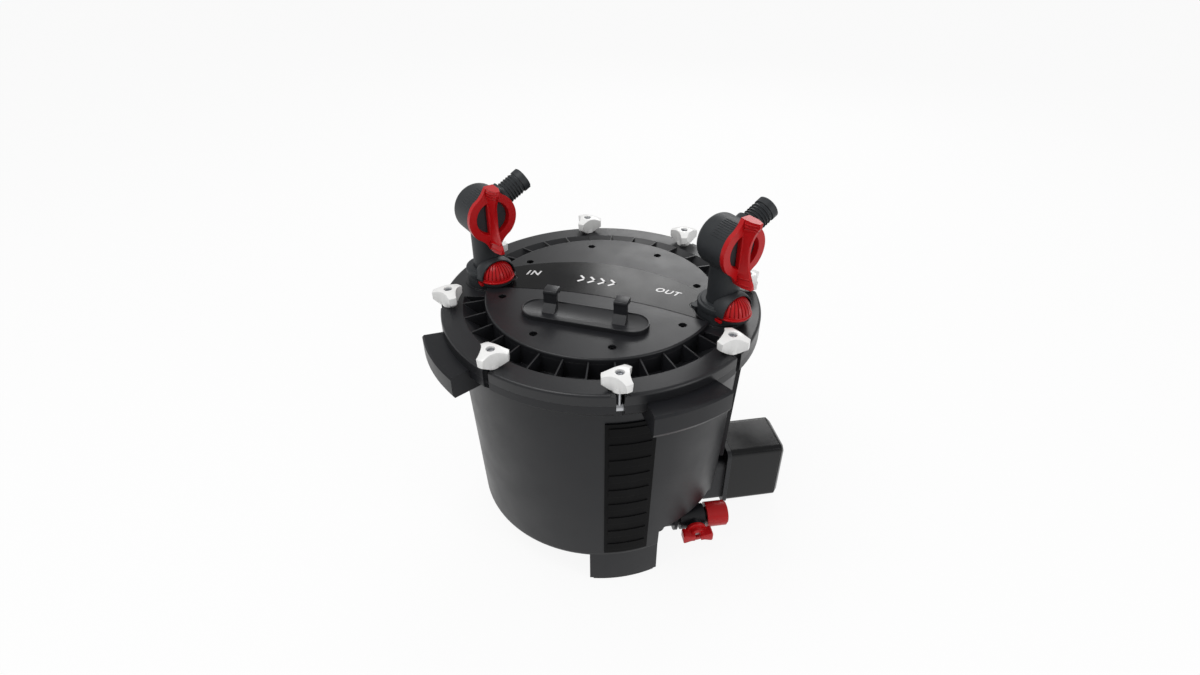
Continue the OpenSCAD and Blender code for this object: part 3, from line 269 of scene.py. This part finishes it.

# %% [markdown]
# Each solid gets the finish of its slot in the record. Two solids share a slot with others and still look different,
# so they get one of their own: the disc's screws, coloured near black as painted shade for their deep holes, and the
# dull strip on the front wall.

# %% Dress the CAD nodes
for part in frame["record"]["subparts"]:
    node = NODES[part["node"]]
    node.data.materials.clear()
    node.data.materials.append(FINISHES[part["material_slot"]])
# The screws are coloured near black as painted shade for their deep holes.
NODES["lid_screws"].data.materials[0] = metal("Screw_painted_shade", (0.03, 0.03, 0.033), 0.16)
NODES["front_trim"].data.materials[0] = plastic("Trim_matt", (0.0012, 0.0012, 0.0015), 0.62, 0.10, edge_rub_and_highlight=1.2)

# %% [markdown]
# ## Modelling by hand, in code
# Every new piece is modelled with Blender's own operators: a primitive is added at its size, cut, extruded or
# bevelled, and then settled. Lengths are in millimetres, as on a drawing. An operator acts on all that is
# selected, so each helper first selects its own piece and nothing else.

# %% Selecting and starting
JOINTS = {joint["name"]: joint for joint in frame["joints"]}


def alone(piece):
    bpy.ops.object.select_all(action="DESELECT")
    piece.select_set(True)
    bpy.context.view_layer.objects.active = piece
    return piece


def set_place(piece):
    """Moves the place, turn and scale of a piece into its mesh."""
    alone(piece)
    bpy.ops.object.transform_apply(location=True, rotation=True, scale=True)
    return piece


def start(shape, **settings):
    bpy.ops.object.select_all(action="DESELECT")
    getattr(bpy.ops.mesh, f"primitive_{shape}_add")(**settings)
    return set_place(bpy.context.object)


def bar(low, high):
    """A box between two corners."""
    low, high = Vector(low) * MM, Vector(high) * MM
    return start("cube", size=1, location=(low + high) / 2, scale=high - low)


def rod(radius, foot, head, sides=64, head_radius=None):
    """A round bar from one point to another, or a cone where its head has its own radius."""
    foot, head = Vector(foot) * MM, Vector(head) * MM
    way = head - foot
    return start("cone", vertices=sides, radius1=radius * MM, depth=way.length, location=(foot + head) / 2,
                 radius2=(radius if head_radius is None else head_radius) * MM,
                 rotation=way.to_track_quat("Z", "Y").to_euler())


def globe(radius, centre, segments=60, rings=40):
    return start("uv_sphere", segments=segments, ring_count=rings, radius=radius * MM, location=Vector(centre) * MM)


print("Joints known:", len(JOINTS))


# %% Editing
def pick(piece, kind, test):
    """Opens a piece in edit mode with what passes the test selected: a place in millimetres and a direction."""
    alone(piece)
    bpy.ops.object.mode_set(mode="EDIT")
    bpy.ops.mesh.select_mode(type=kind)
    bpy.ops.mesh.select_all(action="DESELECT")
    bpy.ops.object.mode_set(mode="OBJECT")
    corners = [v.co / MM for v in piece.data.vertices]
    if kind == "FACE":
        for face in piece.data.polygons:
            face.select = bool(test(face.center / MM, face.normal))
    elif kind == "EDGE":
        for edge in piece.data.edges:
            a, b = (corners[i] for i in edge.vertices)
            edge.select = bool(test((a + b) / 2, b - a))
    else:
        for corner, vertex in zip(corners, piece.data.vertices):
            vertex.select = bool(test(corner, vertex.normal))
    bpy.ops.object.mode_set(mode="EDIT")


def close(piece):
    bpy.ops.object.mode_set(mode="OBJECT")
    return piece


def draw_out(way, grow=(1, 1, 1), about=(0, 0, 0)):
    """Extrudes the selected faces by a way and scales them about a point."""
    bpy.ops.mesh.extrude_region_move(TRANSFORM_OT_translate={"value": Vector(way) * MM})
    if grow != (1, 1, 1):
        bpy.ops.transform.resize(value=grow, center_override=Vector(about) * MM)


def modify(piece, kind, **settings):
    """Adds a modifier and applies it at once."""
    alone(piece)
    step = piece.modifiers.new(kind.title(), kind)
    for key, value in settings.items():
        setattr(step, key, value)
    bpy.ops.object.modifier_apply(modifier=step.name)
    return piece


def soften(piece, width, segments=2, angle=32):
    return modify(piece, "BEVEL", width=width * MM, segments=segments, limit_method="ANGLE",
                  angle_limit=math.radians(angle))


def carve(piece, *tools, how="DIFFERENCE"):
    """Takes tools from a piece, or adds them to it, and drops them."""
    for tool in tools:
        modify(piece, "BOOLEAN", operation=how, object=tool, solver="EXACT")
        bpy.data.objects.remove(tool)
    return piece


def join(*pieces):
    alone(pieces[0])
    for piece in pieces:
        piece.select_set(True)
    bpy.ops.object.join()
    return pieces[0]


def twin(piece, place):
    """A copy with its own mesh, at another place."""
    alone(piece)
    bpy.ops.object.duplicate()
    made = bpy.context.object
    made.matrix_world = place
    return set_place(made)


def settle(piece, name, slot, body="root", stands_for=(), finish=None):
    """Names a finished piece, smooths and dresses it, and lets it ride its body."""
    set_place(piece)
    bpy.ops.object.shade_smooth_by_angle(angle=math.radians(30))
    piece.name = piece.data.name = name
    piece.data.materials.clear()
    piece.data.materials.append(finish or FINISHES[slot])
    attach(piece, body)
    if stands_for:
        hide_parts(*stands_for)
    return piece


def facing(joint, level=False):
    """The frame of a joint: +X along its axis, +Z up, and the floor as its zero height where it is level."""
    place, axis = Vector(JOINTS[joint]["pos_m"]), Vector(JOINTS[joint]["axis"])
    if level:
        place.z = 0
    return Matrix.Translation(place) @ axis.to_track_quat("X", "Z").to_matrix().to_4x4()


def drop(piece):
    bpy.data.objects.remove(piece)


print("Modelling helpers ready")

# %% [markdown]
# ## Valve levers
# A lever is a flat ring drawn out to a tip above and below, with a tall fin across it. The fin is what the hand
# turns: it is thin and low in the middle, thick and high at its ends, and fine ridges there stop the thumb from
# slipping. The lemon outline is the convex hull of a disc and two small tips, which is quicker and smoother than
# drawing it, and the hollows come from round tools. The ridges are thin slices of a second, slightly thicker fin,
# so that they stand equally proud all along the flank.

# %% Lever
LEVER_BACK, LEVER_FACE, LEVER_END = 17.35, 22.6, 39.3
RING_RADIUS, TIP_HALF, TIP_START, TIP_END = 27.7, 4.6, 33, 35.9
BRIDGE_HALF, FIN_HALF = 5.4, 5.4
SADDLE_RADIUS, SADDLE_DEPTH = 53.0, 10
FLANK_AXIS, FLANK_FOOT, FLANK_HEAD = 149.2, 143.2, 151.6
WAIST_RADIUS, WAIST_ASIDE, WAIST_UP = 30, 33.5, 46.5
RIDGE_HEIGHTS = (-32.4, -29.2, -26.0, 26.0, 29.2, 32.4)


def lever_plate():
    """The ring with its two tips, a bridge across it and a window on each side of the bridge."""
    plate = join(rod(RING_RADIUS, (LEVER_BACK, 0, 0), (LEVER_FACE, 0, 0), 80),
                 bar((LEVER_BACK, -TIP_HALF, -TIP_END), (LEVER_FACE, TIP_HALF, -TIP_START)),
                 bar((LEVER_BACK, -TIP_HALF, TIP_START), (LEVER_FACE, TIP_HALF, TIP_END)))
    pick(plate, "VERT", lambda place, way: True)
    bpy.ops.mesh.convex_hull()
    bpy.ops.mesh.dissolve_limited(angle_limit=math.radians(1))
    close(plate)
    for side in (-1, 1):
        window = rod(16.8, (LEVER_BACK - 3, 0, 0), (LEVER_FACE + 3, 0, 0), 64, head_radius=20.0)
        pick(window, "VERT", lambda place, way: True)
        bpy.ops.mesh.bisect(plane_co=(0, side * BRIDGE_HALF * MM, 0), plane_no=(0, -side, 0), use_fill=True,
                            clear_outer=True)
        carve(plate, close(window))
        for up in (-1, 1):
            carve(plate, rod(WAIST_RADIUS, (LEVER_BACK - 1, side * WAIST_ASIDE, up * WAIST_UP),
                             (LEVER_FACE + 1, side * WAIST_ASIDE, up * WAIST_UP), 96))
    return plate


def lever_fin():
    """The fin: one round tool sinks its crest and two shallow cones thin its flanks."""
    fin = bar((LEVER_BACK, -FIN_HALF, -TIP_END), (LEVER_END, FIN_HALF, TIP_END))
    saddle_x = LEVER_END - SADDLE_DEPTH + SADDLE_RADIUS
    carve(fin, rod(SADDLE_RADIUS, (saddle_x, -9, 0), (saddle_x, 9, 0), 256))
    for side in (-1, 1):
        carve(fin, rod(FLANK_FOOT, (LEVER_BACK - 1, side * FLANK_AXIS, 0), (LEVER_END + 1, side * FLANK_AXIS, 0), 400,
                       head_radius=FLANK_HEAD))
    return fin


lever = carve(lever_plate(), lever_fin(), how="UNION")
soften(lever, 1.0, 3)
ridges = lever_fin()
pick(ridges, "VERT", lambda place, way: True)
bpy.ops.transform.resize(value=(1, 1.16, 1), center_override=(0, 0, 0))
close(ridges)
carve(ridges, join(*[bar((23.4, -9, height - 0.55), (LEVER_END - 1.5, 9, height + 0.55))
                     for height in RIDGE_HEIGHTS]), how="INTERSECT")
carve(lever, ridges, how="UNION")
for side in ("in", "out"):
    settle(twin(lever, facing(f"{side}_lever_turn")), f"{side}_lever_grip", "red_plastic", f"{side}_lever",
           [f"{side}_lever"])
drop(lever)
print("Levers: 2")

# %% [markdown]
# The ball inside each valve has a stem that reaches into the lever. The slim fin has no room for its full length, so
# a copy of the solid, its loose triangles merged first, is cut off inside the lever's plate.

# %% Valve balls
STEM_END = 19.4
for side in ("in", "out"):
    place = facing(f"{side}_lever_turn")
    ball = bpy.data.objects.new(f"{side}_ball_and_stem", NODES[f"{side}_ball"].data.copy())
    bpy.context.scene.collection.objects.link(ball)
    pick(ball, "VERT", lambda place, way: True)
    bpy.ops.mesh.remove_doubles(threshold=0.005 * MM)
    bpy.ops.mesh.select_all(action="SELECT")
    bpy.ops.mesh.bisect(plane_co=place @ Vector((STEM_END * MM, 0, 0)), plane_no=place.to_3x3() @ Vector((1, 0, 0)),
                        use_fill=True, clear_outer=True)
    settle(close(ball), f"{side}_ball_and_stem", "ball_plastic", f"{side}_lever", [f"{side}_ball"])
print("Balls: 2")

# %% [markdown]
# ## Clamp knobs
# Each white knob is a tapered plug with three lobes. A cone gives the drawn-in underside, one extrusion the wall
# and a second the sloping top; three large cones then hollow the sides, which leaves the lobes. A bevel rounds what
# is left, and a steel sleeve sits in the middle. The knob is made once, and each copy gets its own turn.

# %% Knob
KNOB_TURN = (25, 15, 40, 95, 25, 60, 110, 8)
FLUTE_ASIDE, FLUTE_FOOT, FLUTE_HEAD = 36, 29.0, 26.6
knob = rod(9.6, (0, 0, 1.3), (0, 0, 7.2), 96, head_radius=17.4)
pick(knob, "FACE", lambda place, way: way.z > 0.9)
draw_out((0, 0, 8.4))
draw_out((0, 0, 3.4), (0.5, 0.5, 1), (0, 0, 19))
close(knob)
for third in range(3):
    way = Matrix.Rotation(math.radians(60 + third * 120), 3, "Z") @ Vector((FLUTE_ASIDE, 0, 0))
    carve(knob, rod(FLUTE_FOOT, way + Vector((0, 0, -1)), way + Vector((0, 0, 21)), 160, head_radius=FLUTE_HEAD))
soften(knob, 1.3, 3, 26)
carve(knob, rod(8, (0, 0, 0), (0, 0, 4), 48), how="UNION")
carve(knob, rod(4.5, (0, 0, 15), (0, 0, 22), 40))
sleeve = rod(4.45, (0, 0, 13.5), (0, 0, 17.6), 40)
pick(sleeve, "FACE", lambda place, way: abs(way.z) > 0.9)
bpy.ops.mesh.inset(thickness=1.2 * MM)
bpy.ops.mesh.bridge_edge_loops()
close(sleeve)
soften(sleeve, 0.3, 2)
for number, turn in enumerate(KNOB_TURN, 1):
    place = Vector(JOINTS[f"knob_{number}_turn"]["pos_m"])
    place.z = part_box(f"clamp_knob_{number}")[0][2]
    around = Matrix.Rotation(math.atan2(place.y, place.x) + math.radians(turn), 4, "Z")
    settle(twin(knob, Matrix.Translation(place) @ around), f"knob_grip_{number}", "knob_plastic",
           f"knob_{number}", [f"clamp_knob_{number}"])
    settle(twin(sleeve, Matrix.Translation(place)), f"knob_sleeve_{number}", "steel", f"knob_{number}")
drop(knob)
drop(sleeve)
print("Knobs: 8")

# %% [markdown]
# ## Lock clips and their hoods
# A red thumb piece shows below each valve, with upright grooves. It is half a ball that stands on the solid clip, with
# a lip round its foot and a dark skirt below. The grooves follow the ball's meridians: every third strip of faces is
# pushed inwards, so they meet at the top by themselves.

# %% Ribbed clip
BALL, CLIP_X, CLIP_Z, RIB_DEG = 19.4, 16.0, 315.4, 4.5
SKIRT_FOOT = 308.65


def in_groove(place):
    turn = math.degrees(math.atan2(place.y, place.x - CLIP_X)) - RIB_DEG / 2
    return round(turn / RIB_DEG) % 3 == 0 and place.z > CLIP_Z + 1


def collar_room():
    """What a clip leaves free for the collar's steps and the valve's neck."""
    return [rod(25.5, (0, 0, 280), (0, 0, 315.2), 96), rod(22.0, (0, 0, 280), (0, 0, 319.8), 96),
            rod(17.4, (0, 0, 280), (0, 0, 350), 96)]


clip = globe(BALL, (CLIP_X, 0, CLIP_Z), 80, 36)
pick(clip, "FACE", lambda place, way: in_groove(place))
draw_out((0, 0, 0), (0.92, 0.92, 0.92), (CLIP_X, 0, CLIP_Z))
close(clip)
carve(clip, bar((-10, -30, 280), (50, 30, CLIP_Z - 1.2)), *collar_room())
lip = soften(rod(20.6, (CLIP_X, 0, CLIP_Z - 2), (CLIP_X, 0, CLIP_Z), 72), 0.6, 2)
carve(lip, *collar_room())
skirt = soften(rod(18.7, (CLIP_X, 0, SKIRT_FOOT), (CLIP_X, 0, CLIP_Z - 1.6), 72), 0.7, 2)
carve(skirt, *collar_room())
for side in ("in", "out"):
    place = facing(f"{side}_lever_turn", level=True)
    settle(twin(clip, place), f"{side}_clip_ribs", "red_plastic", f"{side}_clip")
    settle(twin(lip, place), f"{side}_clip_lip", "red_plastic", f"{side}_clip")
    settle(twin(skirt, place), f"{side}_clip_skirt", "valve_plastic", f"{side}_clip")
for piece in (clip, lip, skirt):
    drop(piece)
print("Clips: 2")

# %% [markdown]
# A grey hood grows over each clip from the collar, and stays behind when the clip is drawn out. So it is hollow, and
# its hollow is a ball drawn forward into a tunnel as wide as the ball: a plain ball would close in at the hood's lip,
# and the clip would cut through it.

# %% Hood and collar ring
HOOD_OUTSIDE, HOOD_INSIDE, HOOD_LIP = 22.4, 20.0, 23.6
hood = globe(HOOD_OUTSIDE, (CLIP_X, 0, CLIP_Z), 72, 40)
carve(hood, bar((HOOD_LIP, -30, 280), (50, 30, 350)), bar((-10, -30, 280), (50, 30, 316.1)),
      globe(HOOD_INSIDE, (CLIP_X, 0, CLIP_Z)), rod(HOOD_INSIDE, (CLIP_X, 0, CLIP_Z), (40, 0, CLIP_Z), 72),
      rod(17.1, (0, 0, 280), (0, 0, 350), 96), bar((-20, -30, 280), (5, 30, 350)))
soften(hood, 0.6, 2)
collar = rod(26, (0, 0, 314.6), (0, 0, 321), 96)
pick(collar, "FACE", lambda place, way: way.z > 0.9)
bpy.ops.mesh.inset(thickness=3.4 * MM)
draw_out((0, 0, 1.6))
close(collar)
soften(collar, 1.2, 3)
carve(collar, rod(17.1, (0, 0, 280), (0, 0, 350), 96), bar((13, -21, 280), (50, 21, 350)))
for side in ("in", "out"):
    place = facing(f"{side}_lever_turn", level=True)
    settle(twin(hood, place), f"{side}_hood", "valve_plastic")
    settle(twin(collar, place), f"{side}_collar_ring", "valve_plastic")
drop(hood)
drop(collar)
print("Hoods: 2, collar rings: 2")

# %% [markdown]
# ## Valve ribs and nub
# The round valve housing has a field of fine ribs near its front edge, where a wrench or a hand holds it, and a
# small nub beside the hose tail. They are thin rounded bars copied round the housing's own axis.

# %% Ribs on the housing
HOUSING = 27.0
rib = bar((-3, -0.55, HOUSING - 0.7), (15.5, 0.55, HOUSING + 0.45))
soften(rib, 0.4, 2)
nub = bar((6, 12.5, 21.5), (15.5, 18, 27.2))
soften(nub, 1.6, 3)
for side in ("in", "out"):
    place = facing(f"{side}_lever_turn")
    field = [twin(rib, place @ Matrix.Rotation(math.radians(turn), 4, "X")) for turn in range(8, 62, 6)]
    settle(join(*field), f"{side}_housing_ribs", "valve_plastic")
    settle(twin(nub, place), f"{side}_housing_nub", "valve_plastic")
drop(rib)
drop(nub)
print("Rib fields: 2")

# %% [markdown]
# ## Words and arrows on the band
# The band says which port is which. The words are text objects made a mesh, a tenth of a millimetre proud, and a row
# of plain arrows stands between them. Each arrow is two bars joined at a right angle.

# %% Labels
BAND_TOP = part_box("lid_band")[1][2] / MM
ink = plastic("Label_white", (0.85, 0.85, 0.85), 0.4, grain_depth=0.002, edge_mm=0.1, edge_rub_and_highlight=1.0, mottle=0.01)


def word(text, place, turn, size):
    bpy.ops.object.select_all(action="DESELECT")
    bpy.ops.object.text_add(location=(place[0] * MM, place[1] * MM, (BAND_TOP + 0.08) * MM),
                            rotation=(0, 0, math.radians(turn)))
    label = bpy.context.object
    label.data.body, label.data.size, label.data.extrude = text, size * MM, 0.1 * MM
    label.data.align_x, label.data.align_y = "CENTER", "CENTER"
    label.data.shear, label.data.space_character, label.data.offset = 0.25, 1.2, 0.3 * MM
    bpy.ops.object.convert(target="MESH")
    return bpy.context.object


settle(word("IN", (-86.8, 16.5), 9, 14), "label_in", "trim", finish=ink)
settle(word("OUT", (70.9, 18.7), -9, 12), "label_out", "trim", finish=ink)
chevrons = []
for number in range(4):
    tip = Vector((-25 + number * 12, 20, BAND_TOP))
    for turn in (135, 225):
        stroke = bar((-1.3, -1.3, -0.05), (9.5, 1.3, 0.15))
        chevrons.append(twin(stroke, Matrix.Translation(tip * MM) @ Matrix.Rotation(math.radians(turn), 4, "Z")))
        drop(stroke)
settle(join(*chevrons), "label_arrows", "trim", finish=ink)
print("Labels: 3")

# %% [markdown]
# ## Hook plate
# The plate on the lid has a raised rim all round and two hooks with rounded caps. The rim's outline is the hull of
# two discs; its top face is inset and pushed down, which leaves the rim standing.

# %% Plate rim and hook caps
PLATE_Y = -59
PLATE_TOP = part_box("lid_disc")[1][2] / MM + 4.2
rim = join(rod(18.2, (-51, PLATE_Y, PLATE_TOP - 1), (-51, PLATE_Y, PLATE_TOP + 1.3), 48),
           rod(18.2, (51, PLATE_Y, PLATE_TOP - 1), (51, PLATE_Y, PLATE_TOP + 1.3), 48))
pick(rim, "VERT", lambda place, way: True)
bpy.ops.mesh.convex_hull()
bpy.ops.mesh.dissolve_limited(angle_limit=math.radians(1))
close(rim)
pick(rim, "FACE", lambda place, way: way.z > 0.9)
bpy.ops.mesh.inset(thickness=2 * MM)
draw_out((0, 0, -1.2))
close(rim)
settle(soften(rim, 0.35, 2), "plate_rim", "lid_plastic")
for number, across in enumerate((-38, 38), 1):
    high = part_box("hook_plate")[1][2] / MM
    cap = bar((across - 7.3, PLATE_Y - 0.3, high - 4.3), (across + 7.3, PLATE_Y + 14.3, high + 0.5))
    pick(cap, "EDGE", lambda place, way: abs(way.x) > 1 and place.z > high)
    bpy.ops.mesh.bevel(offset=1.8 * MM, segments=4, affect="EDGES")
    close(cap)
    settle(soften(cap, 0.5, 2), f"hook_cap_{number}", "lid_plastic")
print("Plate rim and hook caps")

# %% [markdown]
# ## Motor end cap
# The glossy cap of the motor ends in a broad facet. It starts as a box whose long edges are rounded, and its outer
# face is drawn out twice: straight first, then smaller, so the facet runs round all four sides.

# %% End cap
motor = facing("rotor_spin")


def cap_reach():
    """How far the motor housing reaches along the shaft, from the joint's place."""
    way = motor.inverted()
    return max((way @ v.co).x for v in NODES["motor_housing"].data.vertices) / MM


reach = cap_reach()
cap = bar((reach, -32, -43), (reach + 0.8, 32, 43))
pick(cap, "EDGE", lambda place, way: abs(way.x) > 0.4)
bpy.ops.mesh.bevel(offset=7 * MM, segments=7, affect="EDGES")
close(cap)
pick(cap, "FACE", lambda place, way: way.x > 0.9)
draw_out((0.7, 0, 0))
draw_out((4.4, 0, 0), (1, 28 / 32, 39 / 43), (0, 0, 0))
close(cap)
soften(cap, 0.6, 3, 20)
SCREWS = [(across, up) for across in (-24.6, 24.6) for up in (-35.6, 35.6)]
heads = []
for across, up in SCREWS:
    carve(cap, rod(3.4, (reach + 4.2, across, up), (reach + 9, across, up), 32))
    head = rod(3.0, (reach + 3.5, across, up), (reach + 5.4, across, up), 32)
    carve(head, rod(1.7, (reach + 4.4, across, up), (reach + 9, across, up), 6))
    heads.append(soften(head, 0.3, 2))
settle(twin(cap, motor), "motor_cap", "motor_case", stands_for=["motor_end_cap"])
settle(twin(join(*heads), motor), "motor_cap_screws", "steel", stands_for=["motor_screws"])
drop(cap)
drop(heads[0])
print("Motor cap, reach", round(reach, 1))

# %% [markdown]
# ## Drain knob
# A red bow-tie on a round flange turns the drain's ball. Each wing widens outwards, so a short bar is drawn out and
# scaled, and a slot between the wings shows the stem.

# %% Drain knob
knob = soften(rod(12.6, (20.4, 0, 0), (24.6, 0, 0), 72), 0.8, 3)
carve(knob, rod(8.5, (24, 0, 0), (29.5, 0, 0), 48), how="UNION")
for side in (-1, 1):
    wing = bar((22.5, 3.5 if side > 0 else -8, -3.8), (34.2, 8 if side > 0 else -3.5, 3.8))
    pick(wing, "FACE", lambda place, way: way.y * side > 0.9)
    draw_out((0, side * 9.6, 0), (1, 1, 1.75), (28, side * 17, 0))
    close(wing)
    pick(wing, "EDGE", lambda place, way: abs(way.x) > 5 and abs(place.y) > 15)
    bpy.ops.mesh.bevel(offset=2.6 * MM, segments=4, affect="EDGES")
    close(wing)
    carve(knob, wing, how="UNION")
carve(knob, rod(3.6, (15, 0, 0), (40, 0, 0), 40))
soften(knob, 0.6, 2)
settle(twin(knob, facing("drain_knob_turn")), "drain_grip", "red_plastic", "drain_valve", ["drain_knob"])
drop(knob)
print("Drain knob: 1")

# %% [markdown]
# ## Floor, light and camera
# Black plastic shows its form through what it mirrors, so the light is broad: one large panel above and in front,
# a second at the right, a third behind for the lid to mirror, and an even pale world. The floor is pale and keeps
# the soft shadow under the feet.

# %% Stage and light
bpy.ops.object.select_all(action="DESELECT")
bpy.ops.mesh.primitive_plane_add(size=12, location=(0, 0, -0.0005))
floor = bpy.context.object
floor.name = "floor"


def seen(finish):
    """1 for what the camera, a mirror or glass looks at, 0 for light that falls on the object."""
    path = {n: finish.node("ShaderNodeLightPath", out=n)
            for n in ("Is Camera Ray", "Is Glossy Ray", "Is Transmission Ray")}
    return path["Is Camera Ray"] + path["Is Glossy Ray"] + path["Is Transmission Ray"]


FLOOR_GLOW = 0.91
pale = Finish("Floor_pale")
pale.set(Base_Color=(0.92, 0.92, 0.92), Roughness=0.9)
glow = pale.node("ShaderNodeEmission", sockets={"Color": (1, 1, 1), "Strength": 1.0})
mixed = pale.node("ShaderNodeMixShader", sockets={
    0: seen(pale) * FLOOR_GLOW, 1: Wire(pale, pale.shader.outputs[0]), 2: glow})
pale.tree.links.new(mixed.socket, pale.tree.nodes["Material Output"].inputs[0])
floor.data.materials.append(pale.material)

world = bpy.data.worlds.new("Studio")
bpy.context.scene.world = world
world.use_nodes = True
world.node_tree.nodes["Background"].inputs[0].default_value = (1, 1, 1, 1)
world.node_tree.nodes["Background"].inputs[1].default_value = 0.5


def panel(name, place, aim, width, height, power):
    bpy.ops.object.light_add(type="AREA", location=place)
    lamp = bpy.context.object
    lamp.name = name
    lamp.data.shape = "RECTANGLE"
    lamp.data.size, lamp.data.size_y = width, height
    lamp.data.energy = power
    lamp.rotation_euler = (Vector(aim) - Vector(place)).to_track_quat("-Z", "Y").to_euler()


panel("Panel_above", (-0.5, -0.5, 1.9), (0, 0, 0.2), 1.2, 1.0, 15)
panel("Panel_right", (1.7, -0.7, 0.8), (0, 0, 0.2), 0.4, 1.1, 6)
panel("Panel_back", (-0.02, 1.9, 1.28), (0, 0, 0.3), 1.1, 0.5, 9)
print("Floor, world and three panels")

# %% [markdown]
# The camera stands close, a little to the right and well above, and looks down at the lid. It is placed by a turn, a
# tilt and a distance from the point that it looks at, because these three are easier to judge than coordinates.

# %% Camera
TURN, TILT, DISTANCE = math.radians(16.6), math.radians(34.5), 805.6
FOCAL_PX, FRAME_PX = 693.7, 1200
back = Vector((math.sin(TURN) * math.cos(TILT), -math.cos(TURN) * math.cos(TILT), math.sin(TILT)))
aside = Vector((math.cos(TURN), math.sin(TURN), 0))
target = aside * -0.9 * MM + Vector((0, 0, 245.8 * MM))
bpy.ops.object.camera_add(location=target + back * DISTANCE * MM)
camera = bpy.context.object
camera.rotation_euler = (-back).to_track_quat("-Z", "Y").to_euler()
camera.data.sensor_width = 36
camera.data.lens = 36 * FOCAL_PX / FRAME_PX
camera.data.clip_start, camera.data.clip_end = 0.05, 50
bpy.context.scene.camera = camera
bpy.context.scene.view_settings.view_transform = "Standard"
print("Camera", [round(v, 3) for v in camera.location])
